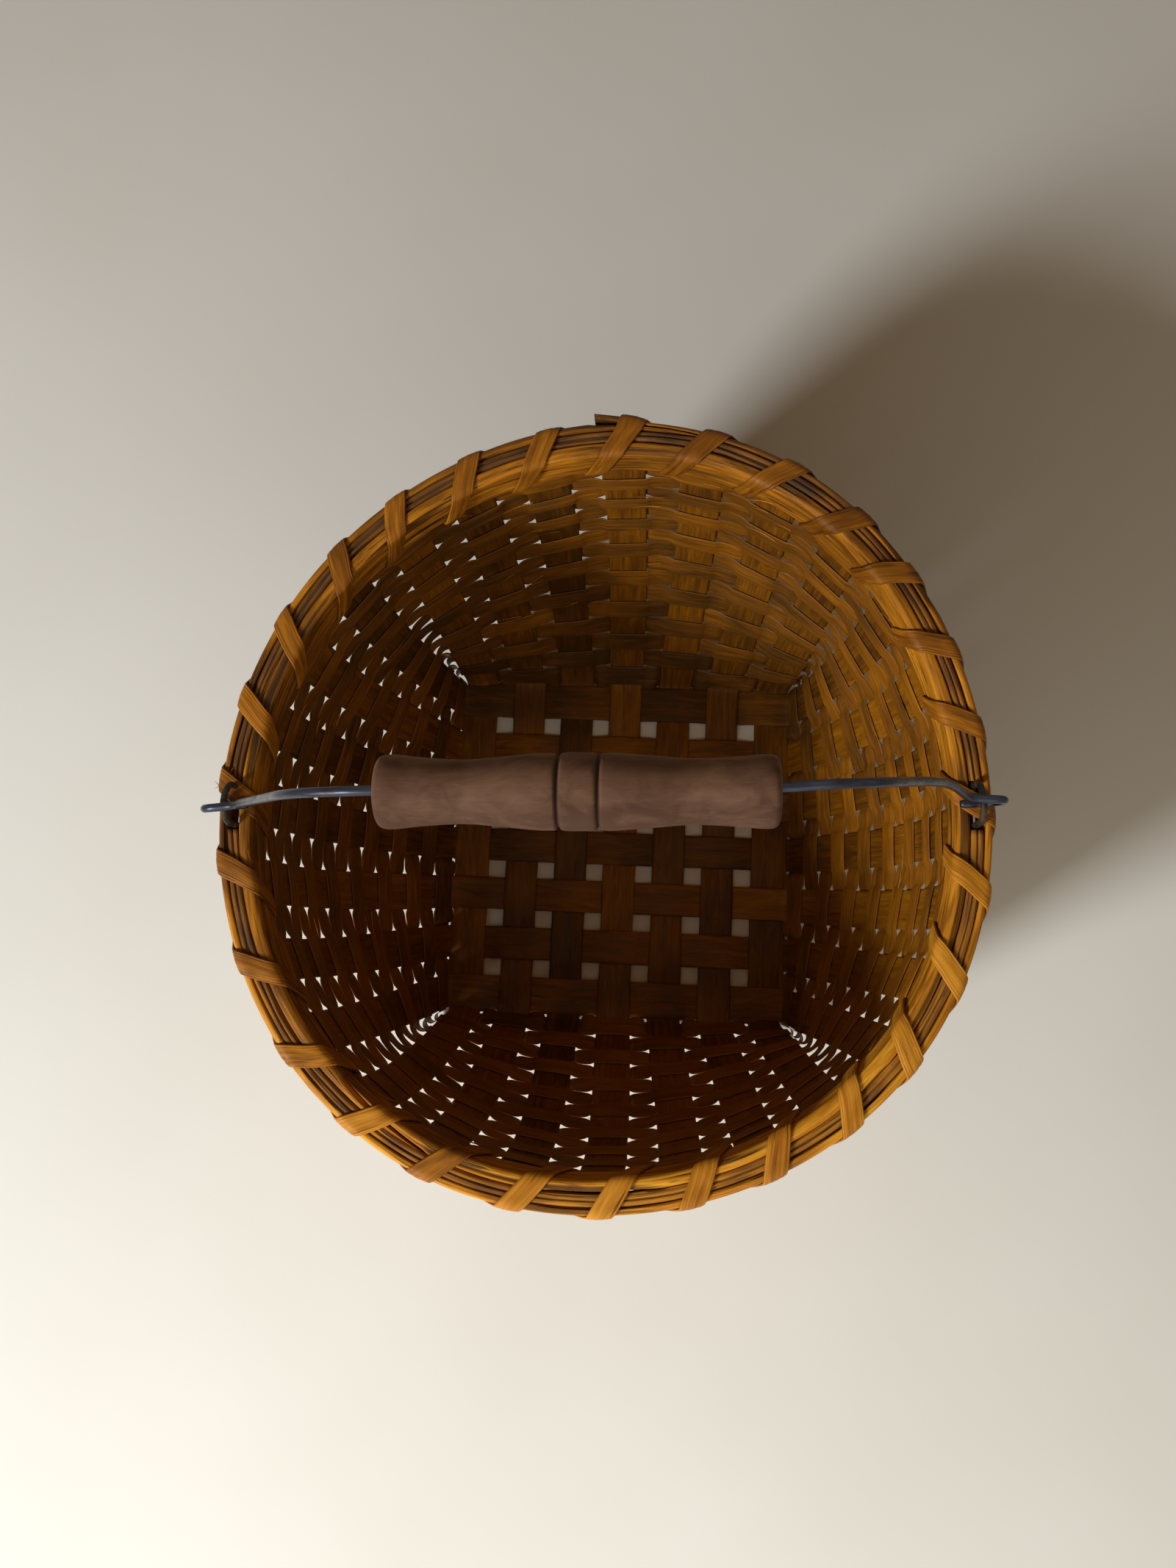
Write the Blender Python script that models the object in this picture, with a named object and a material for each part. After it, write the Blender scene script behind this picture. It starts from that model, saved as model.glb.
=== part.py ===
"""Splint foraging basket with a wire bail and a turned wooden grip. Metres, +Z up.

Flat splints cross in plain weave as a square base, and both ends of each one turn up as uprights of
the wall. Separate flat weavers go round the uprights, in front of one and behind the next. At the
round rim two wooden hoops pinch the wall between them, a filler strip closes the groove over its
top, and a flat lashing binds it all. Two wire ears stand in the groove, and the bail hooks swing in
them. X runs through both ears.
"""

import math

import bmesh
import bpy
import numpy as np
from mathutils import Vector

# Running and assembly clearances
CLEARANCE = 0.0003
LASHING_CLEARANCE = 0.00045
EAR_CLEARANCE = 0.0004
GRIP_BORE_CLEARANCE = 0.0006

# Splints, which make the base and the uprights
SPLINTS_EACH_WAY = 7
SPLINT_WIDTH = 0.0156
SPLINT_THICKNESS = 0.0012
SPLINT_PITCH = 0.0238
WEAVE_TURN = math.radians(-2.1)
# How far the heads of the uprights drift round the rim, and how much more they do at the front
UPRIGHT_DRIFT = math.radians(1.15)
FRONT_DRIFT_SHARE = 0.4

# Wall: a square at the base that becomes the rim's outline at the shoulder
BASE_TO_WALL = 0.0013
SHOULDER_HEIGHT = 0.120
FIRST_ROW_HEIGHT = 0.003
ROWS_UNDER_RIM = 17
ROW_GAP = 0.00095
WEAVER_THICKNESS = 0.0010
WEAVER_EDGE_REACH = 0.0004
RIM_ROW_HEIGHT = 0.0077

# Rim outline, bent by hand: mean radius over the hoops, then how far each wave swells it
RIM_RADIUS = 0.1338
OVAL_SWELL = 0.0025
OVAL_TURN = math.radians(72.0)
THREE_SWELL = 0.0012
THREE_TURN = math.radians(-42.5)
FOUR_SWELL = 0.0008
FOUR_TURN = math.radians(-31.5)

# Rim hoops, filler and lashing
BASKET_HEIGHT = 0.185
HOOP_HEIGHT = 0.016
OUTER_HOOP_THICKNESS = 0.0030
OUTER_HOOP_HEIGHT = 0.0140
INNER_HOOP_THICKNESS = 0.0046
HOOP_BEVEL = 0.0014
SCARF_LENGTH = 0.036
SCARF_TURN = math.radians(91.0)
INNER_SCARF_TURN = math.radians(243.0)
SCARF_BUTT = 0.0006
SCARF_TIP_SHARE = 0.05
SCARF_GAP_SHARE = 0.10
FILLER_HEIGHT = 0.0043
FILLER_BEVEL = 0.0009
FILLER_GAP_AT_EAR = 0.0166
LASHING_WIDTH = 0.0065
LASHING_THICKNESS = 0.0008
LASHING_END_GAP = 0.0010

# Wire ears
EAR_WIRE = 0.0024
EAR_LEG_SPACING = 0.0132
EAR_FOOT_LENGTH = 0.0080
EAR_FOOT_BEND = 0.0022
EAR_INSET = 0.0007
PIVOT_ABOVE_RIM = 0.0040

# Bail wire, standing and leaning a little to the front
BAIL_WIRE = 0.0028
BAIL_HEIGHT = 0.096
BAIL_LEAN = math.radians(5.0)
SHOULDER_RADIUS = 0.035
NECK_RADIUS = 0.006
HOOK_REACH_OUT = 0.002
HOOK_REACH_IN = 0.002
HOOK_TAIL = 0.006
# Shares of the way from each hook's tail to the grip, with how far the bent wire sways back there
RIGHT_SWAY = (
    (0.0, -0.0002),
    (0.05, 0.0002),
    (0.12, 0.0009),
    (0.20, 0.0013),
    (0.25, 0.0026),
    (0.32, 0.0044),
    (0.41, 0.0052),
    (0.54, 0.0047),
    (0.75, 0.0032),
    (0.89, 0.0020),
    (0.965, 0.0003),
    (1.0, 0.0),
)
LEFT_SWAY = (
    (0.0, -0.0003),
    (0.04, -0.0008),
    (0.085, -0.0014),
    (0.12, -0.0017),
    (0.155, -0.0015),
    (0.20, -0.0010),
    (0.25, -0.0004),
    (0.75, -0.0005),
    (0.965, 0.0),
    (1.0, 0.0),
)

# Turned grip
GRIP_LENGTH = 0.103
GRIP_DIAMETER = 0.0202
GRIP_FREE_WIRE = 0.002
GRIP_STEPS = 16
# Shares of the length along it, with shares of its largest diameter there
GRIP_PROFILE_SHARES = (
    (0.0, 0.60),
    (0.012, 0.83),
    (0.045, 0.955),
    (0.12, 0.875),
    (0.22, 0.823),
    (0.39, 0.972),
    (0.446, 0.985),
    (0.455, 0.90),
    (0.464, 0.99),
    (0.505, 1.0),
    (0.546, 0.99),
    (0.555, 0.90),
    (0.564, 0.985),
    (0.61, 0.975),
    (0.79, 0.838),
    (0.89, 0.88),
    (0.965, 0.935),
    (0.988, 0.83),
    (1.0, 0.60),
)

# Facets of the bent wires and the sides of their round section
HOOK_STEPS = 8
EAR_STEPS = 8
NECK_STEPS = 3
LEG_STEPS = 6
SHOULDER_STEPS = 6
FOOT_STEPS = 3
WIRE_BEVEL_RESOLUTION = 2

# Points on the wall's slope, and the angle from which the grip's edges stay sharp
SLOPE_SAMPLES = 4000
SHARP_ANGLE = math.radians(40.0)

# Worked out from the sizes above
UPRIGHTS = 4 * SPLINTS_EACH_WAY
UPRIGHT_STEP = 2.0 * math.pi / UPRIGHTS
SIDE_MIDDLE = (SPLINTS_EACH_WAY - 1) / 2
BASE_EDGE = SIDE_MIDDLE * SPLINT_PITCH + SPLINT_WIDTH / 2
BASE_HALF = BASE_EDGE + BASE_TO_WALL
BASE_LOW = SPLINT_THICKNESS / 2
BASE_HIGH = BASE_LOW + SPLINT_THICKNESS + CLEARANCE
WEAVER_OFFSET = SPLINT_THICKNESS / 2 + CLEARANCE + WEAVER_THICKNESS / 2
GROOVE_HALF = WEAVER_OFFSET + WEAVER_THICKNESS / 2 + CLEARANCE
WALL_INSIDE_RIM = GROOVE_HALF + OUTER_HOOP_THICKNESS
HOOP_BOTTOM = BASKET_HEIGHT - HOOP_HEIGHT
SLOT_HEIGHT = HOOP_BOTTOM - CLEARANCE - LASHING_THICKNESS / 2
ROWS_TOP = SLOT_HEIGHT - LASHING_THICKNESS / 2 - CLEARANCE
RIM_ROW_TOP = HOOP_BOTTOM + RIM_ROW_HEIGHT
UPRIGHT_TOP = RIM_ROW_TOP + CLEARANCE
EAR_FOOT_HEIGHT = UPRIGHT_TOP + CLEARANCE + EAR_WIRE / 2
FILLER_BOTTOM = EAR_FOOT_HEIGHT + EAR_WIRE / 2 + CLEARANCE
FILLER_HALF = GROOVE_HALF - CLEARANCE
PIVOT_HEIGHT = BASKET_HEIGHT + PIVOT_ABOVE_RIM
HOOK_RADIUS = (EAR_LEG_SPACING + EAR_WIRE + BAIL_WIRE) / 4 + EAR_CLEARANCE / 2


def principled(name, colour, roughness, metallic=0.0):
    material = bpy.data.materials.new(name)
    material.use_nodes = True
    shader = material.node_tree.nodes["Principled BSDF"]
    shader.inputs["Base Color"].default_value = (*colour, 1.0)
    shader.inputs["Roughness"].default_value = roughness
    shader.inputs["Metallic"].default_value = metallic
    material.diffuse_color = (*colour, 1.0)
    return material


def clear_scene():
    for thing in list(bpy.data.objects):
        bpy.data.objects.remove(thing)


def link(name, data, material):
    data.materials.append(material)
    thing = bpy.data.objects.new(name, data)
    bpy.context.scene.collection.objects.link(thing)
    return thing


def loft(name, rings, closed, material, smooth=False):
    """A skin through rings of points: closed joins the last ring to the first, else flat caps end it.
    Opposite sides of a ring are split along the same diagonal, so a twisted strip keeps its thickness."""
    shape = bmesh.new()
    rows = [[shape.verts.new(Vector(point)) for point in ring] for ring in rings]
    nexts = rows[1:] + rows[:1] if closed else rows[1:]
    for first, second in zip(rows, nexts):
        for i, corner in enumerate(first):
            j = (i + 1) % len(first)
            if i < len(first) / 2:
                shape.faces.new((corner, first[j], second[j]))
                shape.faces.new((corner, second[j], second[i]))
            else:
                shape.faces.new((corner, first[j], second[i]))
                shape.faces.new((first[j], second[j], second[i]))
    if not closed:
        shape.faces.new(rows[0])
        shape.faces.new(rows[-1])
    bmesh.ops.recalc_face_normals(shape, faces=shape.faces)
    mesh = bpy.data.meshes.new(name)
    shape.to_mesh(mesh)
    shape.free()
    if smooth:
        mesh.shade_smooth()
        mesh.set_sharp_from_angle(angle=SHARP_ANGLE)
    return link(name, mesh, material)


def wire(name, points, diameter, material):
    """A bent wire of round section through the points."""
    curve = bpy.data.curves.new(name, "CURVE")
    curve.dimensions = "3D"
    curve.bevel_depth = diameter / 2
    curve.bevel_resolution = WIRE_BEVEL_RESOLUTION
    curve.use_fill_caps = True
    spline = curve.splines.new("POLY")
    spline.points.add(len(points) - 1)
    for spot, point in zip(spline.points, points):
        spot.co = (*point, 1.0)
    spline.use_smooth = True
    return link(name, curve, material)


def turned(vector, angle):
    x, y = vector
    c, s = math.cos(angle), math.sin(angle)
    return np.array((c * x - s * y, s * x + c * y))


def rim_radius(angle):
    """Radius of the wall's middle at the rim."""
    swell = OVAL_SWELL * math.cos(2 * (angle - OVAL_TURN))
    swell += THREE_SWELL * math.cos(3 * (angle - THREE_TURN))
    swell += FOUR_SWELL * math.cos(4 * (angle - FOUR_TURN))
    return RIM_RADIUS - WALL_INSIDE_RIM + swell


def rim_slope(angle):
    """How the rim's radius changes with the angle."""
    slope = -2 * OVAL_SWELL * math.sin(2 * (angle - OVAL_TURN))
    slope -= 3 * THREE_SWELL * math.sin(3 * (angle - THREE_TURN))
    slope -= 4 * FOUR_SWELL * math.sin(4 * (angle - FOUR_TURN))
    return slope


def rim_frame(angle):
    """The wall's middle at the rim, with the direction along the rim and the direction outwards."""
    along = turned((rim_slope(angle), rim_radius(angle)), angle)
    along /= np.linalg.norm(along)
    return turned((rim_radius(angle), 0.0), angle), along, np.array((along[1], -along[0]))


def upright_angle(place):
    """Angle of an upright at the rim: place 0 is the first of the right side, and places may be between."""
    even = WEAVE_TURN + (place - SIDE_MIDDLE) * UPRIGHT_STEP
    back = math.sin(even)
    return even - UPRIGHT_DRIFT * back * (1.0 - FRONT_DRIFT_SHARE * back)


def upright_half_angle():
    """Half of the angle that an upright takes up at the rim."""
    return SPLINT_WIDTH / 2 / (RIM_RADIUS - WALL_INSIDE_RIM)


def wall_blend(height):
    """1 at the base and 0 from the shoulder up, along a parabola."""
    return np.maximum(0.0, 1.0 - np.asarray(height) / SHOULDER_HEIGHT) ** 2


def row_edges():
    """Heights of the row edges, at equal steps along the slope of the wall in the middle of a side."""
    heights = np.linspace(FIRST_ROW_HEIGHT, ROWS_TOP + ROW_GAP / 2, SLOPE_SAMPLES)
    reach = (RIM_RADIUS - WALL_INSIDE_RIM - BASE_HALF) * (1.0 - wall_blend(heights))
    slope = np.concatenate(([0.0], np.cumsum(np.hypot(np.diff(heights), np.diff(reach)))))
    edges = np.linspace(0.0, slope[-1], ROWS_UNDER_RIM + 1)
    return slope, heights, edges


SLOPE, SLOPE_HEIGHTS, ROW_EDGES = row_edges()
ROW_EDGE_HEIGHTS = np.interp(ROW_EDGES, SLOPE, SLOPE_HEIGHTS)
CURVED_ROWS = int(np.searchsorted(ROW_EDGE_HEIGHTS, SHOULDER_HEIGHT)) + 1
KNOTS = np.append(ROW_EDGE_HEIGHTS[:CURVED_ROWS], UPRIGHT_TOP)
KNOT_BLENDS = wall_blend(KNOTS)


def upright_ends(place):
    """Foot and head of the upright's middle, with the direction along the wall at each."""
    side, step = divmod(place % UPRIGHTS, SPLINTS_EACH_WAY)
    turn = WEAVE_TURN + side * math.pi / 2
    foot = turned((BASE_HALF, (step - SIDE_MIDDLE) * SPLINT_PITCH), turn)
    angle, half = upright_angle(place), upright_half_angle()
    right, left = rim_frame(angle - half)[0], rim_frame(angle + half)[0]
    return foot, turned((0.0, 1.0), turn), (right + left) / 2, (left - right) / math.dist(left, right)


def upright_frame(place, height, knot):
    """Middle of the upright at a height between knot and the next one, the direction along the wall
    there and the direction out of it. The wall is straight from each knot to the next."""
    foot, foot_along, head, head_along = upright_ends(place)
    low, high = KNOTS[knot], KNOTS[knot + 1]
    first, last = KNOT_BLENDS[knot], KNOT_BLENDS[knot + 1]
    blend = first + (last - first) * (height - low) / (high - low)
    middle = head + (foot - head) * blend
    along = head_along + (foot_along - head_along) * blend
    along /= np.linalg.norm(along)
    rise = np.append((foot - head) * (last - first) / (high - low), 1.0)
    outwards = np.cross(np.append(along, 0.0), rise)
    return np.append(middle, height), np.append(along, 0.0), outwards / np.linalg.norm(outwards)


def upright_knot(place, knot):
    """As upright_frame, at a knot, with the direction out halfway between those below and above it."""
    height = KNOTS[knot]
    middle, along, above = upright_frame(place, height, min(knot, len(KNOTS) - 2))
    below = upright_frame(place, height, max(knot - 1, 0))[2]
    outwards = above + below
    return middle, along, outwards / np.linalg.norm(outwards)


def flat_section(middle, along, outwards):
    """The four corners of a splint's section."""
    wide, thick = along * SPLINT_WIDTH / 2, outwards * SPLINT_THICKNESS / 2
    return middle - wide - thick, middle + wide - thick, middle + wide + thick, middle - wide + thick


def is_over(run, cross):
    """Whether the splint along X at place run goes over the one along Y at place cross."""
    return (run + cross) % 2 == 0


def end_places(axis, number):
    """Places of the two uprights that one splint makes: where it starts, then where its run ends."""
    last = SPLINTS_EACH_WAY - 1
    if axis == 0:
        return 2 * SPLINTS_EACH_WAY + last - number, number
    return 3 * SPLINTS_EACH_WAY + number, SPLINTS_EACH_WAY + last - number


def splint(name, axis, number, material):
    """One long splint: down the wall at its start, across the base in plain weave, up the far wall."""
    run = np.append(turned((1.0, 0.0), WEAVE_TURN + axis * math.pi / 2), 0.0)
    across = np.append(turned((0.0, 1.0), WEAVE_TURN + axis * math.pi / 2), 0.0)
    shift = (number - SIDE_MIDDLE) * SPLINT_PITCH * (1 - 2 * axis)
    down = np.array((0.0, 0.0, -1.0))
    start, finish = end_places(axis, number)
    rings = []
    for knot in reversed(range(len(KNOTS))):
        middle, along, outwards = upright_knot(start, knot)
        rings.append(flat_section(middle, -along, outwards))
    for crossing in range(SPLINTS_EACH_WAY):
        on_top = is_over(number, crossing) if axis == 0 else not is_over(crossing, number)
        height = BASE_HIGH if on_top else BASE_LOW
        for edge in (-1, 1):
            reach = (crossing - SIDE_MIDDLE) * SPLINT_PITCH + edge * SPLINT_WIDTH / 2
            middle = run * reach + across * shift - down * height
            rings.append(flat_section(middle, across, down))
    for knot in range(len(KNOTS)):
        rings.append(flat_section(*upright_knot(finish, knot)))
    return loft(name, rings, False, material)


def build_splints(material):
    for axis, letter in enumerate("xy"):
        for number in range(SPLINTS_EACH_WAY):
            splint(f"splint_{letter}_{number + 1}", axis, number, material)


def weaver_is_outside(place, row):
    """Plain weave: the first row goes inside the uprights that leave the base on top."""
    return (place + row) % 2 == 1


def weaver(name, row, low, high, material):
    """One ring of flat weaver, in front of every other upright and behind the rest."""
    knot = min(row, len(KNOTS) - 2)
    reach = SPLINT_WIDTH / 2 + WEAVER_EDGE_REACH
    rings = []
    for place in range(UPRIGHTS):
        side = 1 if weaver_is_outside(place, row) else -1
        for edge in (-reach, reach):
            corners = []
            for height, layer in ((low, -1), (high, -1), (high, 1), (low, 1)):
                middle, along, outwards = upright_frame(place, height, knot)
                depth = side * WEAVER_OFFSET + layer * WEAVER_THICKNESS / 2
                corners.append(middle + along * edge + outwards * depth)
            rings.append(corners)
    return loft(name, rings, True, material)


def build_weavers(material):
    for row in range(ROWS_UNDER_RIM):
        low = float(np.interp(ROW_EDGES[row] + ROW_GAP / 2, SLOPE, SLOPE_HEIGHTS))
        high = float(np.interp(ROW_EDGES[row + 1] - ROW_GAP / 2, SLOPE, SLOPE_HEIGHTS))
        weaver(f"weaver_{row + 1:02d}", row, low, high, material)
    last = ROWS_UNDER_RIM
    weaver(f"weaver_{last + 1:02d}", last, HOOP_BOTTOM, RIM_ROW_TOP, material)


def rim_stations():
    """Angles of the uprights' edges at the rim, which the rim's pieces share as their own corners."""
    half = upright_half_angle()
    middles = [upright_angle(place) for place in range(UPRIGHTS)]
    return [(middle + edge) % (2 * math.pi) for middle in middles for edge in (-half, half)]


def rim_section(angle, section):
    """A section of (distance out from the wall's middle, height) set square to the rim."""
    middle, _, outwards = rim_frame(angle)
    return [np.append(middle + outwards * out, height) for out, height in section]


def pared(section, inner, outer):
    """A section with only what lies between two distances out, its edges kept on its own outline."""
    centre = sum(height for _, height in section) / len(section)
    points = []
    for out, height in section:
        edge = sorted(point for point in section if (point[1] > centre) == (height > centre))
        kept = min(max(out, inner), outer)
        points.append((kept, float(np.interp(kept, *zip(*edge)))))
    return points


def scarfed_hoop(name, section, tail_angle, material):
    """A bent hoop whose ends thin out over each other: the start lies inside, the tail outside."""
    inner = min(out for out, _ in section)
    outer = max(out for out, _ in section)
    radius = rim_radius(tail_angle)
    lap, butt, full = SCARF_LENGTH / radius, SCARF_BUTT / radius, 2 * math.pi
    start = tail_angle - lap
    corners = sorted((angle - start) % full for angle in rim_stations())
    turns = [0.0, lap, lap + butt, full - butt, full, full + lap]
    turns += [turn for turn in corners if butt < turn < lap - butt]
    turns += [turn for turn in corners if lap + 2 * butt < turn < full - 2 * butt]
    turns += [turn + full for turn in corners if butt < turn < lap - butt]
    grow = 1.0 - 2 * SCARF_TIP_SHARE - SCARF_GAP_SHARE
    rings = []
    for turn in sorted(turns):
        thin = section
        if turn <= lap:
            share = SCARF_TIP_SHARE + grow * turn / lap
            thin = pared(section, inner, inner + (outer - inner) * share)
        if turn >= full:
            share = SCARF_TIP_SHARE + grow * (full + lap - turn) / lap
            thin = pared(section, outer - (outer - inner) * share, outer)
        rings.append(rim_section(start + turn, thin))
    return loft(name, rings, False, material)


def build_hoops(material):
    face = GROOVE_HALF
    back = face + OUTER_HOOP_THICKNESS
    low = BASKET_HEIGHT - OUTER_HOOP_HEIGHT
    top = BASKET_HEIGHT
    outer = (
        (face, low),
        (face, top),
        (back - HOOP_BEVEL, top - HOOP_BEVEL / 2),
        (back, top - 3 * HOOP_BEVEL),
        (back, low + 3 * HOOP_BEVEL),
        (back - HOOP_BEVEL, low + HOOP_BEVEL / 2),
    )
    scarfed_hoop("rim_outer_hoop", outer, SCARF_TURN, material)
    back = face + INNER_HOOP_THICKNESS
    inner = (
        (-face, HOOP_BOTTOM),
        (-face, top),
        (HOOP_BEVEL - back, top),
        (-back, top - HOOP_BEVEL),
        (-back, HOOP_BOTTOM + HOOP_BEVEL),
        (HOOP_BEVEL - back, HOOP_BOTTOM),
    )
    scarfed_hoop("rim_inner_hoop", inner, INNER_SCARF_TURN, material)


def build_fillers(material):
    """The filler lies in the groove over the wall's top, in two lengths that stop short of the ears."""
    top = FILLER_BOTTOM + FILLER_HEIGHT
    section = (
        (-FILLER_HALF, FILLER_BOTTOM),
        (-FILLER_HALF, top - FILLER_BEVEL),
        (FILLER_BEVEL - FILLER_HALF, top),
        (FILLER_HALF - FILLER_BEVEL, top),
        (FILLER_HALF, top - FILLER_BEVEL),
        (FILLER_HALF, FILLER_BOTTOM),
    )
    for name, begin in (("rim_filler_back", 0.0), ("rim_filler_front", math.pi)):
        first = begin + FILLER_GAP_AT_EAR / 2 / rim_radius(begin)
        last = begin + math.pi - FILLER_GAP_AT_EAR / 2 / rim_radius(begin + math.pi)
        inside = sorted(angle for angle in rim_stations() if first < angle < last)
        angles = [first, *inside, last]
        loft(name, [rim_section(angle, section) for angle in angles], False, material)


def lashing_stations():
    """One turn of the lashing round the rim's section: distance out, height, direction out of the
    surface there, and how far along from one slot to the next, as a share."""
    gap = LASHING_CLEARANCE + LASHING_THICKNESS / 2
    outer = GROOVE_HALF + OUTER_HOOP_THICKNESS + gap
    inner = -GROOVE_HALF - INNER_HOOP_THICKNESS - gap
    top = BASKET_HEIGHT + gap
    middle_height = (SLOT_HEIGHT + top) / 2
    bevel = HOOP_BEVEL
    along_shares = (0.0, 0.05, 0.30, 0.51, 0.56, 0.585, 0.81, 0.855, 0.95)
    places = (
        (0.0, SLOT_HEIGHT, (0.0, -1.0)),
        (outer, SLOT_HEIGHT, (1.0, -1.0)),
        (outer, middle_height, (1.0, 0.0)),
        (outer, top - 3.5 * bevel, (1.0, 0.15)),
        (outer - bevel, top - 0.8 * bevel, (0.85, 0.55)),
        (outer - 2 * bevel, top, (0.3, 1.0)),
        (inner + 1.25 * bevel, top, (-0.4, 1.0)),
        (inner, top - 1.25 * bevel, (-1.0, 0.4)),
        (inner, SLOT_HEIGHT, (-1.0, -1.0)),
    )
    return [(*place, share) for place, share in zip(places, along_shares)]


def lashing_points(first_turn, turns):
    """Rings of the lashing's section, each cut parallel to the rim so that it folds over the hoops."""
    stations = lashing_stations()
    pitch = UPRIGHT_STEP * (RIM_RADIUS - WALL_INSIDE_RIM)
    path = []
    for turn in range(turns):
        for out, height, outwards, share in stations:
            path.append((out, height, outwards, first_turn + turn + share - 0.5))
    out, height, outwards, share = stations[0]
    path.append((out, height, outwards, first_turn + turns - 0.5))
    half_gap = LASHING_END_GAP / 2
    path[0] = (half_gap, *path[0][1:])
    path[-1] = (-half_gap, *path[-1][1:])
    rings = []
    for i, (out, height, outwards, place) in enumerate(path):
        before, after = path[max(i - 1, 0)], path[min(i + 1, len(path) - 1)]
        round_rim = math.dist(before[:2], (out, height)) + math.dist((out, height), after[:2])
        along_rim = (after[3] - before[3]) * pitch
        half = LASHING_WIDTH / 2 * math.hypot(round_rim, along_rim) / round_rim
        # A fold's corner stands further out than the faces beside it
        fold = max(abs(outwards[0]), abs(outwards[1]))
        step = np.array(outwards) / fold * LASHING_THICKNESS / 2
        corners = []
        for side, layer in ((-1, -1), (1, -1), (1, 1), (-1, 1)):
            angle = upright_angle(place + side * half / pitch)
            spot = (out + layer * step[0], height + layer * step[1])
            corners += rim_section(angle, [spot])
        rings.append(corners)
    return rings


def least_gap(rings):
    """Least distance between corners of the lashing that lie half a turn or more apart on it."""
    turn = len(lashing_stations())
    points = np.array(rings)
    least = math.inf
    for i in range(len(points) - turn // 2):
        others = points[i + turn // 2 :].reshape(-1, 3)
        spread = points[i][:, None, :] - others[None, :, :]
        least = min(least, float(np.linalg.norm(spread, axis=2).min()))
    return least


def build_lashing(material):
    """Two lengths, each half way round, that start and end in the slot beside an ear."""
    half = UPRIGHTS // 2
    ear_turn = int(SIDE_MIDDLE)
    for name, first in (("rim_lashing_back", ear_turn), ("rim_lashing_front", ear_turn + half)):
        rings = lashing_points(first, half)
        print(f"{name}: least gap to itself {1000 * least_gap(rings):.2f} mm")
        loft(name, rings, False, material)


def arc(centre, radius, begin, end, steps):
    """Points on an arc, without its first one. Angles in radians, from the first axis to the second."""
    angles = np.linspace(begin, end, steps + 1)[1:]
    return [(centre[0] + radius * math.cos(a), centre[1] + radius * math.sin(a)) for a in angles]


def ear_half():
    """Half of an ear as (distance along the rim, height): foot in the groove, leg and arch."""
    leg = EAR_LEG_SPACING / 2
    bend = EAR_FOOT_BEND
    low = EAR_FOOT_HEIGHT
    points = [(leg + EAR_FOOT_LENGTH, low), (leg + bend, low)]
    points += arc((leg + bend, low + bend), bend, 1.5 * math.pi, math.pi, FOOT_STEPS)
    points += [(leg, PIVOT_HEIGHT)]
    points += arc((0.0, PIVOT_HEIGHT), leg, 0.0, math.pi / 2, EAR_STEPS // 2)
    return points


def build_ears(material):
    for name, angle in (("ear_right", 0.0), ("ear_left", math.pi)):
        half = ear_half()
        whole = half + [(-along, height) for along, height in reversed(half[:-1])]
        points = []
        for along, height in whole:
            middle, _, outwards = rim_frame(angle + along / rim_radius(angle))
            points.append((*(middle - outwards * EAR_INSET), height))
        wire(name, points, EAR_WIRE, material)


def tangent_angle(first, second, radii_sum):
    """Direction of the straight wire that leaves a bend to its right and meets one to its left."""
    dx, dy = second[0] - first[0], second[1] - first[1]
    return math.atan2(dy, dx) - math.asin(radii_sum / math.hypot(dx, dy))


def bail_half(eye):
    """Half of the bail as (distance out from its middle, height over the pivot), from the hook's tail
    to the grip. Eye is how far out the ear stands."""
    hook_out = eye + HOOK_REACH_OUT
    neck = (eye - HOOK_REACH_IN, 2 * HOOK_RADIUS + NECK_RADIUS)
    shoulder = (GRIP_LENGTH / 2 + GRIP_FREE_WIRE, BAIL_HEIGHT - SHOULDER_RADIUS)
    leg_angle = tangent_angle(neck, shoulder, NECK_RADIUS + SHOULDER_RADIUS)
    right = math.pi / 2
    points = [(eye - HOOK_TAIL, 0.0), (hook_out, 0.0)]
    points += arc((hook_out, HOOK_RADIUS), HOOK_RADIUS, -right, right, HOOK_STEPS)
    points += [(neck[0], 2 * HOOK_RADIUS)]
    points += arc(neck, NECK_RADIUS, -right, leg_angle - 3 * right, NECK_STEPS)
    leg_top = arc(shoulder, SHOULDER_RADIUS, leg_angle - right, leg_angle - right, 1)[0]
    leg = np.linspace(points[-1], leg_top, LEG_STEPS + 1)[1:]
    points += [tuple(point) for point in leg]
    points += arc(shoulder, SHOULDER_RADIUS, leg_angle - right, right, SHOULDER_STEPS)
    return points


def swayed(half, sway, side):
    """One side of the bail with its sway: (out, to the back, height over the pivot)."""
    line = np.array(half)
    reach = np.concatenate(([0.0], np.cumsum(np.hypot(*np.diff(line, axis=0).T))))
    shares, backs = zip(*sway)
    back = np.interp(reach / reach[-1], shares, backs)
    return [(side * out, y, height) for (out, height), y in zip(half, back)]


def build_bail(material):
    """The bail hangs from an empty on its pivot, which leans it."""
    right, left = rim_radius(0.0), rim_radius(math.pi)
    half = bail_half((right + left) / 2 - EAR_INSET)
    points = swayed(half, RIGHT_SWAY, 1)
    points += reversed(swayed(half, LEFT_SWAY, -1))
    pivot = bpy.data.objects.new("bail_pivot", None)
    pivot.location = ((right - left) / 2, 0.0, PIVOT_HEIGHT)
    pivot.rotation_euler = (BAIL_LEAN, 0.0, 0.0)
    bpy.context.scene.collection.objects.link(pivot)
    bail = wire("bail_wire", points, BAIL_WIRE, material)
    bail.parent = pivot
    return pivot


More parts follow.
